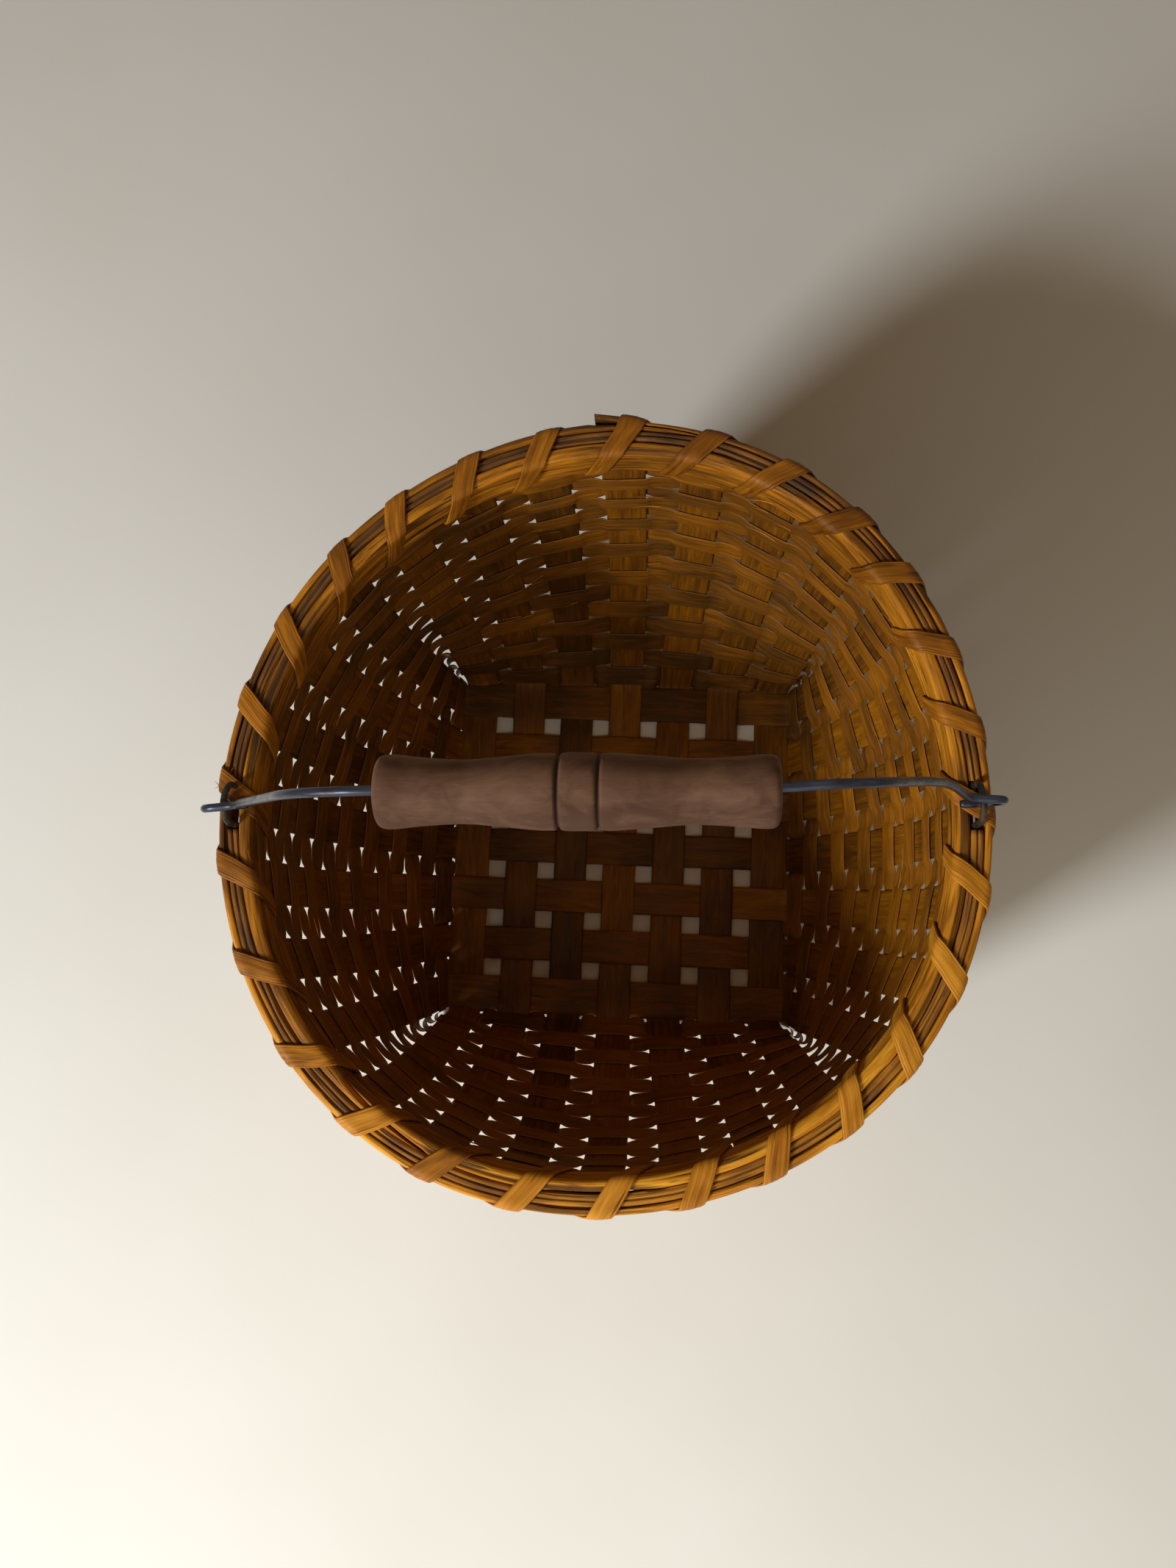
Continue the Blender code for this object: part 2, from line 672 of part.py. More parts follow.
def build_grip(pivot, material):
    """A turned handle with a bore for the wire, round an origin on its own axis."""
    bore = BAIL_WIRE / 2 + GRIP_BORE_CLEARANCE
    start = -GRIP_LENGTH / 2
    profile = [(start, bore)]
    for along, wide in GRIP_PROFILE_SHARES:
        profile.append((start + along * GRIP_LENGTH, wide * GRIP_DIAMETER / 2))
    profile.append((start + GRIP_LENGTH, bore))
    rings = []
    for step in range(GRIP_STEPS):
        angle = 2 * math.pi * step / GRIP_STEPS
        c, s = math.cos(angle), math.sin(angle)
        rings.append([(x, radius * c, radius * s) for x, radius in profile])
    grip = loft("grip", rings, True, material, smooth=True)
    grip.parent = pivot
    grip.location = (0.0, 0.0, BAIL_HEIGHT)


def main():
    clear_scene()
    splint_wood = principled("stained_splint", (0.20, 0.085, 0.022), 0.55)
    weaver_wood = principled("stained_weaver", (0.24, 0.11, 0.03), 0.55)
    hoop_wood = principled("hoop_wood", (0.18, 0.075, 0.022), 0.5)
    filler_wood = principled("filler_reed", (0.22, 0.10, 0.035), 0.6)
    cane = principled("lashing_cane", (0.26, 0.12, 0.035), 0.45)
    ear_iron = principled("ear_iron", (0.06, 0.06, 0.055), 0.6, 0.8)
    bail_steel = principled("bail_steel", (0.12, 0.12, 0.12), 0.4, 0.9)
    grip_wood = principled("grip_wood", (0.16, 0.085, 0.055), 0.6)
    build_splints(splint_wood)
    build_weavers(weaver_wood)
    build_hoops(hoop_wood)
    build_fillers(filler_wood)
    build_lashing(cane)
    build_ears(ear_iron)
    pivot = build_bail(bail_steel)
    build_grip(pivot, grip_wood)


main()
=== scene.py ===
"""Looks of a splint foraging basket with a wire bail and a turned wooden grip. Metres, +Z up.

Every piece is a skin of points worked out as whole arrays: a section carried along a path, or a
profile turned round an axis. The wall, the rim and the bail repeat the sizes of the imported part.
"""

import bpy
import numpy as np
from mathutils import Euler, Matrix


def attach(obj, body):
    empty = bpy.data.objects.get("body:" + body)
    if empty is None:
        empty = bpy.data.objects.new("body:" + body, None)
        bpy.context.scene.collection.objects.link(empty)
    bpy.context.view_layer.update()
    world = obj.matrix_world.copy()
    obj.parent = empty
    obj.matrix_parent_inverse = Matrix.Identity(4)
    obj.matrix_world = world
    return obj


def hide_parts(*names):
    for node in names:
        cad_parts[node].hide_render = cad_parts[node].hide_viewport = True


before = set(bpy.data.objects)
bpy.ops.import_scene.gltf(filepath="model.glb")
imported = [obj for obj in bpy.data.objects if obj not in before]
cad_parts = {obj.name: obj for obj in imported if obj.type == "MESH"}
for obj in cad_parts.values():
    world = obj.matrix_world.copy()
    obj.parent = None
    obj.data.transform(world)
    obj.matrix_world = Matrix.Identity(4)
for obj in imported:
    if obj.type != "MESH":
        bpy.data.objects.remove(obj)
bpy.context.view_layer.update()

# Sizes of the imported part
SPLINT_WIDTH = 0.0156
SPLINT_THICKNESS = 0.0012
SPLINT_PITCH = 0.0238
WEAVE_TURN = np.radians(-2.1)
UPRIGHT_DRIFT = np.radians(1.15)
FRONT_DRIFT_SHARE = 0.4
SHOULDER_HEIGHT = 0.120
FIRST_ROW_HEIGHT = 0.003
ROWS_UNDER_RIM = 17
WEAVER_REACH = 0.0086
UPRIGHT_WIDTH = 0.0166
RIM_MIDDLE = 0.1286
SWELLS = ((2, 0.0025, 72.0), (3, 0.0012, -42.5), (4, 0.0008, -31.5))
BASE_HALF = 0.0805
BASE_EDGE = 0.0792
BASE_MIDDLE = 0.00135
BASE_WAVE = 0.00075
WEAVER_OFFSET = 0.00096
GROOVE_HALF = 0.0022
HOOP_BOTTOM = 0.169
BASKET_HEIGHT = 0.185
OUTER_HOOP_THICKNESS = 0.0030
OUTER_HOOP_HEIGHT = 0.0140
INNER_HOOP_THICKNESS = 0.0046
ROWS_TOP = 0.1676
RIM_ROW_TOP = 0.1767
UPRIGHT_TOP = 0.1770
FILLER_BOTTOM = 0.1800
SCARF_LENGTH = 0.036
LASHING_THICKNESS = 0.0008
EAR_WIRE = 0.0024
EAR_LEG = 0.0066
EAR_FOOT_HEIGHT = 0.1785
EAR_INSET = 0.0007
PIVOT_HEIGHT = 0.189
BAIL_WIRE = 0.0028
BAIL_HEIGHT = 0.096
BAIL_LEAN = np.radians(5.0)
SHOULDER_RADIUS = 0.035
NECK_RADIUS = 0.006
HOOK_RADIUS = 0.0048
GRIP_LENGTH = 0.103
GRIP_DIAMETER = 0.0202
GRIP_BORE = 0.0026

# Sizes of the finer things that only the looks have
ROW_SLIT = 0.00016
ROW_CROWN = 0.00014
ROW_DRIFT = 0.00008
ROW_SLACK = 0.014
# Painted shade along the edges of rows and splints, where they meet their neighbours
EDGE_SHADE = 0.19
UPRIGHT_THICKNESS = 0.00098
TURN_UP_HEIGHT = 0.004
TURN_UP_REACH = 0.016
CORNER_POWER = 1.9
CORNER_REACH = 0.12
CORNER_LIFT = 0.0030
CORNER_BULGE = 0.0042
BULGE_REACH = 0.052
CORNER_TILT = 0.00095
LOWEST_ROW = 0.0012
OUTER_EDGE_REACH = 0.0016
LOWEST_TUCK = 0.0019
ROW_THICKNESS = 0.00064
CROSSING_POWER = 7.0
OUTER_TAIL_TURN = np.radians(91.0)
LOOSE_TAIL = 0.0015
TAIL_SHARE = 0.95
LAP_TIP = 0.05
LAP_GROWTH = 0.80
LASH_WIDTH = 0.0077
LASH_RIDGES = 4.5
FIBRE_FINE = 0.00030
# Painted shade: how much darker the tone is painted at the foot of the wall
LOW_PAINTED_SHADE = 0.7
# Painted light and shade by side: how far the tone swings paler and darker round the basket, and the turn
# of its palest side
SIDE_LIGHT_SWING = 0.75
SIDE_LIGHT_TURN = np.radians(295)
PALE_ROOM = (0.60, 0.58, 0.54, 1.0)
FLOOR_HALF = 6.0
FLOOR_DROP = 0.0002
FADE_FROM = 0.57
FADE_TO = 1.1

UPRIGHTS = 28
UPRIGHT_STEP = 2 * np.pi / UPRIGHTS
LASH_PITCH = UPRIGHT_STEP * RIM_MIDDLE


# ---- shared curves and skins ----


def blended(low, high, share):
    """low + (high - low) * share."""
    return low + (high - low) * share


def eased(share):
    """s * s * (3 - 2 s), with s kept between 0 and 1."""
    kept = np.clip(share, 0.0, 1.0)
    return kept * kept * (3 - 2 * kept)


def unit(vectors):
    """Each vector divided by its length."""
    return vectors / np.linalg.norm(vectors, axis=-1, keepdims=True)


def beside(*parts):
    """Parts side by side, as the last axis."""
    return np.stack(parts, -1)


def joined(*parts):
    """Parts one after the other."""
    return np.concatenate(parts)


def read_at(places, reach, points):
    """The points' columns read off at places along their reach, straight between the points."""
    return np.stack([np.interp(places, reach, column) for column in points.T], -1)


def run_length(points):
    """How far along the points each one lies: the running sum of the steps between them."""
    steps = np.linalg.norm(np.diff(points, axis=0), axis=-1)
    return joined([0.0], np.cumsum(steps))


def spaced(points, count):
    """The same line with its points at equal steps of length."""
    reach = run_length(points)
    return read_at(np.linspace(0.0, reach[-1], count), reach, points)


def softened(columns, spread):
    """Each column averaged with a bell exp(-n^2 / 2 spread^2), its ends carried on by odd mirroring."""
    reach = int(3 * spread) + 1
    bell = np.exp(-0.5 * (np.arange(-reach, reach + 1) / spread) ** 2)
    bell /= bell.sum()
    longer = np.pad(columns, ((reach, reach), (0, 0)), mode="reflect", reflect_type="odd")
    return np.stack([np.convolve(column, bell, mode="valid") for column in longer.T], -1)


def cubic(first, leaving, second, landing, t):
    """(1 + 2t)(1 - t)^2 first + t (1 - t)^2 leaving + t^2 (3 - 2t) second - t^2 (1 - t) landing."""
    curve = (1 + 2 * t) * (1 - t) ** 2 * first + t * (1 - t) ** 2 * leaving
    return curve + t * t * (3 - 2 * t) * second - t * t * (1 - t) * landing


def through(points, each):
    """A cubic through all points, with slopes (next - last) / 2: each sets how many steps per span."""
    points = np.asarray(points, float)
    slopes = np.gradient(points, axis=0)
    t = np.linspace(0.0, 1.0, each, endpoint=False)[None, :, None]
    curve = cubic(points[:-1, None], slopes[:-1, None], points[1:, None], slopes[1:, None], t)
    return joined(curve.reshape(-1, points.shape[1]), points[-1:])


def wander(turn, seed, waves=9, fall=0.8):
    """Hand-made wavering round a ring: the sum of cos(k turn + phase) / k^fall, scaled to about 1."""
    dice = np.random.default_rng(seed)
    k = np.arange(1, waves + 1)
    size = dice.normal(size=waves) / k**fall
    phase = dice.uniform(0.0, 2 * np.pi, waves)
    waving = np.cos(np.asarray(turn)[..., None] * k + phase) * size
    return waving.sum(-1) / np.sqrt((size**2).sum() / 2)


def ridges(u, v, long, wide, seed):
    """Ridges from 0 to 1 over every u and v: values every (long, wide), joined by s * s * (3 - 2 s)."""
    table = np.random.default_rng(seed).random(4093)
    a, b = np.broadcast_arrays(u[:, None] / long, v[None, :] / wide)
    i, j = np.floor(a).astype(int), np.floor(b).astype(int)
    s, t = eased(a - i), eased(b - j)
    corner = [[table[((i + p) * 571 + (j + q) * 131) % 4093] for q in (0, 1)] for p in (0, 1)]
    return blended(blended(corner[0][0], corner[1][0], s), blended(corner[0][1], corner[1][1], s), t)


def flat_strip(width, thickness, count, square=12):
    """Round a flat strip's section: across s from -1 to 1 and back, with a half thickness of
    (1 - |s|^square)^(1/2). Gives across, depth and s."""
    s = -np.cos(np.linspace(0.0, np.pi, count))
    s = np.sign(s) * np.abs(s) ** 0.55
    half = thickness / 2 * np.sqrt(np.clip(1 - np.abs(s) ** square, 0.0, 1.0))
    s = joined(s, s[-2:0:-1])
    depth = joined(half, -half[-2:0:-1])
    return s * width / 2, depth, s


def closed_length(outline):
    """Running length round a closed outline, with the whole way round as its last value."""
    return run_length(joined(outline, outline[:1]))


def made(name, body, finish, spots, faces, grain, tint, shade):
    """A piece of these points and faces, with its grain map, its tint and its shade, on its body."""
    mesh = bpy.data.meshes.new(name)
    mesh.from_pydata(spots.tolist(), [], faces)
    mesh.uv_layers.new(name="grain").data.foreach_set("uv", grain.astype(np.float32).ravel())
    for label, values in (("tint", tint), ("shade", shade)):
        attribute = mesh.attributes.new(label, "FLOAT", "POINT")
        attribute.data.foreach_set("value", values.astype(np.float32))
    mesh.materials.append(finish)
    piece = bpy.data.objects.new(name, mesh)
    bpy.context.scene.collection.objects.link(piece)
    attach(piece, body)
    return piece


def skin(name, node, body, finish, points, u, v, ring=False, tint=0.0, shade=0.0, crosswise=False):
    """A skin over rows of points, each row a closed section, in place of a node. Ring joins the last row
    to the first, else a fan closes each end. UV is (u along, v round) in metres, or turned if crosswise."""
    rows, sides = points.shape[:2]
    spots = points.reshape(-1, 3)
    last = rows if ring else rows - 1
    i, j = np.meshgrid(np.arange(last), np.arange(sides), indexing="ij")
    up, over = (i + 1) % rows, (j + 1) % sides
    quads = beside(i * sides + j, i * sides + over, up * sides + over, up * sides + j).reshape(-1, 4)
    u, v = np.asarray(u, float), np.asarray(v, float)
    mapped = beside(beside(u[i], u[i], u[i + 1], u[i + 1]), beside(v[j], v[j + 1], v[j + 1], v[j]))
    mapped = mapped.reshape(-1, 4, 2)
    tint, shade = (np.broadcast_to(part, (rows, sides)).ravel() for part in (tint, shade))
    fans, fan_map = np.zeros((0, 3), int), np.zeros((0, 3, 2))
    if not ring:
        spots = joined(spots, points[[0, -1]].mean(1))
        tint, shade = joined(tint, tint[[0, -1]]), joined(shade, shade[[0, -1]])
        k = np.arange(sides)
        after = (k + 1) % sides
        foot = (rows - 1) * sides
        fans = joined(
            beside(after, k, np.full(sides, len(spots) - 2)),
            beside(foot + k, foot + after, np.full(sides, len(spots) - 1)),
        )
        ends = (beside(np.full(sides, end), v[:-1])[:, None].repeat(3, 1) for end in (u[0], u[-1]))
        fan_map = joined(*ends)
        fan_map[:, 2, 0] += 0.0005
    a, b, c, d = (spots[quads[:, corner]] for corner in range(4))
    volume = (a * np.cross(b, c)).sum() + (a * np.cross(c, d)).sum()
    if volume < 0:
        quads, mapped = quads[:, ::-1], mapped[:, ::-1]
        fans, fan_map = fans[:, ::-1], fan_map[:, ::-1]
    if crosswise:
        mapped, fan_map = mapped[..., ::-1], fan_map[..., ::-1]
    grain = joined(mapped.reshape(-1, 2), fan_map.reshape(-1, 2))
    piece = made(name, body, finish, spots, quads.tolist() + fans.tolist(), grain, tint, shade)
    piece.data.shade_smooth()
    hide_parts(node)


# ---- finishes ----


def add(tree, kind, inputs, **settings):
    """A node with its settings, its inputs joined where they are sockets and set where they are values."""
    node = tree.nodes.new("ShaderNode" + kind)
    for key, value in settings.items():
        setattr(node, key, value)
    for key, value in inputs.items():
        if isinstance(value, bpy.types.NodeSocket):
            tree.links.new(value, node.inputs[key])
        else:
            node.inputs[key].default_value = value
    return node


def figure(tree, where, along, across, detail=2.0, rough=0.5, shift=0.0, bend=0.0):
    """Noise whose blotches are along by across metres on the piece's own grain map."""
    placed = add(tree, "Mapping", {
        "Vector": where, "Location": (shift, shift * 1.7, 0.0),
        "Scale": (1.0 / along, 1.0 / across, 1.0 / across),
    })
    return add(tree, "TexNoise", {
        "Vector": placed.outputs[0], "Scale": 1.0, "Detail": detail, "Roughness": rough, "Distortion": bend,
    }).outputs[0]


def levelled(tree, value, low, high, to_low=0.0, to_high=1.0):
    """A value eased from (low, high) to (to_low, to_high)."""
    return add(tree, "MapRange", {
        0: value, 1: low, 2: high, 3: to_low, 4: to_high,
    }, interpolation_type="SMOOTHSTEP").outputs[0]


def sums(tree, *terms):
    """The sum of (value, weight) terms."""
    total = 0.0
    for value, weight in terms:
        total = add(tree, "Math", {0: value, 1: weight, 2: total},
                    operation="MULTIPLY_ADD").outputs[0]
    return total


def mixed(tree, share, first, second, kind="MIX"):
    """The first colour changed towards the second by the share."""
    return add(tree, "Mix", {0: share, 6: first, 7: second},
               data_type="RGBA", blend_type=kind).outputs[2]


def graded(tree, value, stops):
    """A colour ramp through (place, linear colour) stops."""
    ramp = add(tree, "ValToRGB", {0: value})
    line = ramp.color_ramp.elements
    for place, colour in stops[2:]:
        line.new(place)
    for stop, (place, colour) in zip(line, stops):
        stop.position = place
        stop.color = (*colour, 1.0)
    return ramp.outputs[0]


def given(tree, label):
    """The number that each point of the piece was given under this label."""
    return add(tree, "Attribute", {}, attribute_name=label).outputs["Fac"]


def own_map(tree):
    """The piece's own grain map, along and across the grain in metres."""
    return add(tree, "UVMap", {}, uv_map="grain").outputs[0]


def coat(tree, shader, colour, dull, height, strength, distance, socket, level):
    """Colour, roughness and a bump of the height on the shader, and one socket of its own set plainly."""
    bump = add(tree, "Bump", {"Height": height, "Strength": strength, "Distance": distance})
    for value, name in ((colour, "Base Color"), (dull, "Roughness"), (bump.outputs[0], "Normal")):
        tree.links.new(value, shader.inputs[name])
    shader.inputs[socket].default_value = level


def new_finish(name):
    """A material with its tree and its shader."""
    material = bpy.data.materials.new(name)
    material.use_nodes = True
    return material, material.node_tree, material.node_tree.nodes["Principled BSDF"]


# Split woods: four (place, linear colour) stops, the colour of the cracks, and what differs from the rest
SPLIT_WOODS = {
    "stained_splint": (((0.22, (0.072, 0.028, 0.0036)), (0.42, (0.158, 0.0555, 0.0036)),
                        (0.58, (0.257, 0.0905, 0.003)), (0.80, (0.400, 0.156, 0.006))),
                       (0.026, 0.009, 0.001), {"cracks": 0.68, "spread": 0.95, "fine": 0.26}),
    "stained_weaver": (((0.22, (0.080, 0.032, 0.0036)), (0.42, (0.182, 0.064, 0.0036)),
                        (0.58, (0.292, 0.102, 0.003)), (0.80, (0.450, 0.175, 0.006))),
                       (0.028, 0.011, 0.002),
                       {"cracks": 0.67, "spread": 0.95, "fine": 0.26, "sheen": 0.32}),
    "hoop_wood": (((0.22, (0.080, 0.029, 0.005)), (0.40, (0.235, 0.084, 0.007)),
                   (0.56, (0.480, 0.178, 0.01)), (0.78, (0.760, 0.35, 0.026))),
                  (0.022, 0.01, 0.005),
                  {"cracks": 0.62, "relief": 0.00040, "fine": 0.20,
                   "crack_size": (0.030, 0.0014), "relief_fine": 0.30}),
    "filler_reed": (((0.22, (0.060, 0.027, 0.012)), (0.42, (0.160, 0.064, 0.014)),
                     (0.60, (0.310, 0.12, 0.015)), (0.82, (0.520, 0.22, 0.024))),
                    (0.046, 0.023, 0.016),
                    {"cracks": 0.60, "relief": 0.00034, "gloss": (0.5, 0.75), "fine": 0.20,
                     "crack_size": (0.030, 0.0013), "relief_fine": 0.30}),
    "lashing_cane": (((0.22, (0.105, 0.035, 0.004)), (0.42, (0.265, 0.09, 0.007)),
                      (0.58, (0.430, 0.16, 0.01)), (0.80, (0.640, 0.275, 0.024))),
                     (0.030, 0.011, 0.004), {"cracks": 0.64, "relief": 0.00018, "gloss": (0.34, 0.56)}),
}


def split_wood(name):
    """The finish of one of the split woods."""
    stops, crack, options = SPLIT_WOODS[name]
    return stained_fibre(name, stops, (*crack, 1.0), **options)


def stained_fibre(name, stops, crack, cracks, relief=0.00016, gloss=(0.40, 0.62), spread=1.0, fine=0.30,
                  crack_size=(0.026, 0.00080), relief_fine=0.55, sheen=0.15):
    """Split wood under an uneven brown stain: fine fibres, wider streaks and blotches choose the colour
    from the stops, and dark cracks run with the grain. The tint attribute shifts the tone, and on the wall
    and rim carries painted light and shade; the shade attribute darkens towards the crack colour as painted
    shade."""
    material, tree, shader = new_finish(name)
    grain, tint, shade = own_map(tree), given(tree, "tint"), given(tree, "shade")
    fibre = figure(tree, grain, 0.022, FIBRE_FINE, 3.0, 0.6)
    streak = figure(tree, grain, 0.034, 0.0012, 3.0, 0.6, 3.1, 0.7)
    blotch = figure(tree, grain, 0.0288, 0.0048, 3.0, 0.6, 7.7, 1.2)
    split = figure(tree, grain, *crack_size, 2.0, 0.55, 11.3, 0.5)
    tone = sums(tree, (fibre, fine * spread), (streak, 0.56 * spread), (blotch, 0.62 * spread),
                (tint, 0.16))
    tone = sums(tree, (tone, 1.0), (1.0, 0.5 - (fine + 1.18) * spread / 2))
    colour = graded(tree, tone, stops)
    gap = levelled(tree, split, cracks, cracks + 0.09)
    colour = mixed(tree, levelled(tree, gap, 0.0, 1.0, 0.0, 0.80), colour, crack)
    # Painted shade: the colour moves towards the crack colour where the shade attribute is high
    colour = mixed(tree, levelled(tree, shade, 0.15, 1.0, 0.0, 0.85), colour, crack)
    height = sums(tree, (fibre, relief_fine), (streak, 0.75), (gap, -0.9))
    coat(tree, shader, colour, levelled(tree, streak, 0.3, 0.7, *gloss), height, 0.8, relief,
         "Specular IOR Level", sheen)
    return material


def iron_finish():
    """Corroded iron: black scale, brown rust in blotches and a little green on it, rough and pitted."""
    material, tree, shader = new_finish("ear_iron")
    place = add(tree, "TexCoord", {}).outputs["Object"]
    pits = figure(tree, place, 0.0006, 0.0006, 4.0, 0.65)
    rust = figure(tree, place, 0.0030, 0.0030, 3.0, 0.6, 2.3)
    green = figure(tree, place, 0.0055, 0.0055, 3.0, 0.6, 5.9)
    colour = graded(tree, rust, ((0.30, (0.010, 0.009, 0.009)), (0.50, (0.028, 0.022, 0.018)),
                                 (0.62, (0.075, 0.040, 0.018)), (0.75, (0.120, 0.060, 0.022))))
    colour = mixed(tree, levelled(tree, green, 0.56, 0.70, 0.0, 0.65), colour, (0.075, 0.095, 0.050, 1.0))
    coat(tree, shader, colour, levelled(tree, rust, 0.3, 0.7, 0.42, 0.80), pits, 0.9, 0.00022,
         "Metallic", 0.55)
    return material


def steel_finish():
    """Drawn steel wire gone dark: blue-black, with faint drawing lines and a few brown spots."""
    material, tree, shader = new_finish("bail_steel")
    grain = own_map(tree)
    drawn = figure(tree, grain, 0.040, 0.00035, 2.0, 0.5)
    spots = figure(tree, grain, 0.0110, 0.0028, 4.0, 0.65, 4.2)
    colour = graded(tree, spots, ((0.30, (0.055, 0.060, 0.088)), (0.55, (0.038, 0.041, 0.060)),
                                  (0.68, (0.030, 0.024, 0.024)), (0.82, (0.050, 0.026, 0.014))))
    height = sums(tree, (drawn, 0.7), (spots, 0.3))
    coat(tree, shader, colour, levelled(tree, spots, 0.35, 0.75, 0.26, 0.48), height, 0.3, 0.00006,
         "Metallic", 0.85)
    return material


def grip_finish():
    """Bare turned wood, matte pinkish brown: broad worn patches, painted light that makes the back paler,
    short pores along the grain and painted shade in the turned grooves, darker too at the ends."""
    material, tree, shader = new_finish("grip_wood")
    grain, painted_back_light, shade = own_map(tree), given(tree, "tint"), given(tree, "shade")
    pores = figure(tree, grain, 0.0040, 0.00030, 3.0, 0.6)
    band = figure(tree, grain, 0.050, 0.0040, 3.0, 0.55, 2.9, 0.5)
    worn = figure(tree, grain, 0.013, 0.009, 4.0, 0.6, 8.4, 0.8)
    # The tint attribute here is painted light: paler towards the back
    tone = sums(tree, (pores, 0.22), (band, 0.30), (worn, 0.75), (painted_back_light, 0.22), (1.0, -0.135))
    colour = graded(tree, tone, ((0.28, (0.068, 0.031, 0.017)), (0.45, (0.112, 0.054, 0.032)),
                                 (0.58, (0.148, 0.074, 0.044)), (0.78, (0.205, 0.110, 0.058))))
    colour = mixed(tree, levelled(tree, pores, 0.62, 0.74, 0.0, 0.45), colour, (0.055, 0.026, 0.016, 1.0))
    # Painted shade in the turned grooves and darker at the ends, from the shade attribute
    colour = mixed(tree, levelled(tree, shade, 0.1, 1.0, 0.0, 0.85), colour, (0.036, 0.017, 0.011, 1.0))
    height = sums(tree, (pores, -0.6), (band, 0.3), (worn, 0.3))
    coat(tree, shader, colour, levelled(tree, worn, 0.3, 0.7, 0.85, 0.68), height, 0.5, 0.00012,
         "Specular IOR Level", 0.20)
    return material


# ---- wall ----


def rim_frame(angle):
    """The wall's middle at the rim, r(a) = RIM_MIDDLE + sum of swell cos(n (a - turn)), with the unit
    directions along the rim and out of it."""
    radius, slope = RIM_MIDDLE, 0.0
    for waves, swell, turn in SWELLS:
        radius = radius + swell * np.cos(waves * (angle - np.radians(turn)))
        slope = slope - waves * swell * np.sin(waves * (angle - np.radians(turn)))
    c, s = np.cos(angle), np.sin(angle)
    along = unit(beside(slope * c - radius * s, slope * s + radius * c))
    out = beside(along[..., 1], -along[..., 0])
    return beside(radius * c, radius * s), along, out


def rim_radius(angle):
    return np.linalg.norm(rim_frame(np.asarray(angle))[0], axis=-1)


def upright_angle(place):
    """Angle of an upright at the rim, and between them for a place that isn't whole."""
    even = WEAVE_TURN + (place - 3.0) * UPRIGHT_STEP
    back = np.sin(even)
    return even - UPRIGHT_DRIFT * back * (1.0 - FRONT_DRIFT_SHARE * back)


def wall_at(place, height):
    """Middle of an upright at a height, with the directions along the wall and out of it. The wall
    bends from a square to the rim's outline as (1 - z / SHOULDER_HEIGHT)^2."""
    place = np.asarray(place) % UPRIGHTS
    side, step = place // 7, place % 7
    turn = WEAVE_TURN + side * np.pi / 2
    c, s = np.cos(turn), np.sin(turn)
    offset = (step - 3.0) * SPLINT_PITCH
    foot = beside(c * BASE_HALF - s * offset, s * BASE_HALF + c * offset)
    foot_along = beside(-s, c)
    half = SPLINT_WIDTH / 2 / RIM_MIDDLE
    right, left = rim_frame(upright_angle(place) - half)[0], rim_frame(upright_angle(place) + half)[0]
    head, head_along = (right + left) / 2, unit(left - right)
    rest = np.maximum(0.0, 1.0 - np.asarray(height) / SHOULDER_HEIGHT)[..., None]
    middle = head + (foot - head) * rest**2
    along = unit(head_along + (foot_along - head_along) * rest**2)
    rise = (foot - head) * -2.0 * rest / SHOULDER_HEIGHT
    out = beside(along[..., 1], -along[..., 0],
                 along[..., 0] * rise[..., 1] - along[..., 1] * rise[..., 0])
    flat = (*middle.shape[:-1], 1)
    middle = np.concatenate((middle, np.broadcast_to(np.asarray(height)[..., None], flat)), -1)
    return middle, np.concatenate((along, np.zeros(flat)), -1), unit(out)


def painted_low_shade(height):
    """Painted shade deep in the basket: the tone is painted darker towards the base, by the greatest
    darkening times (1 - z / SHOULDER_HEIGHT)^4.
    """
    return LOW_PAINTED_SHADE * np.clip(1.0 - height / SHOULDER_HEIGHT, 0.0, 1.0) ** 4


def painted_side_light(angle):
    """Painted light and shade by side: the tone is painted paler at the front right and darker at the back
    left, as the swing times cos(a - the turn of the palest side).
    """
    return SIDE_LIGHT_SWING * np.cos(angle - SIDE_LIGHT_TURN)


def row_edges():
    """Heights of the row edges, at equal steps along the wall's slope in the middle of a side."""
    heights = np.linspace(FIRST_ROW_HEIGHT, ROWS_TOP + 0.0005, 2000)
    reach = (RIM_MIDDLE - BASE_HALF) * (1.0 - np.maximum(0.0, 1.0 - heights / SHOULDER_HEIGHT) ** 2)
    slope = run_length(beside(heights, reach))
    return np.interp(np.linspace(0.0, slope[-1], ROWS_UNDER_RIM + 1), slope, heights)


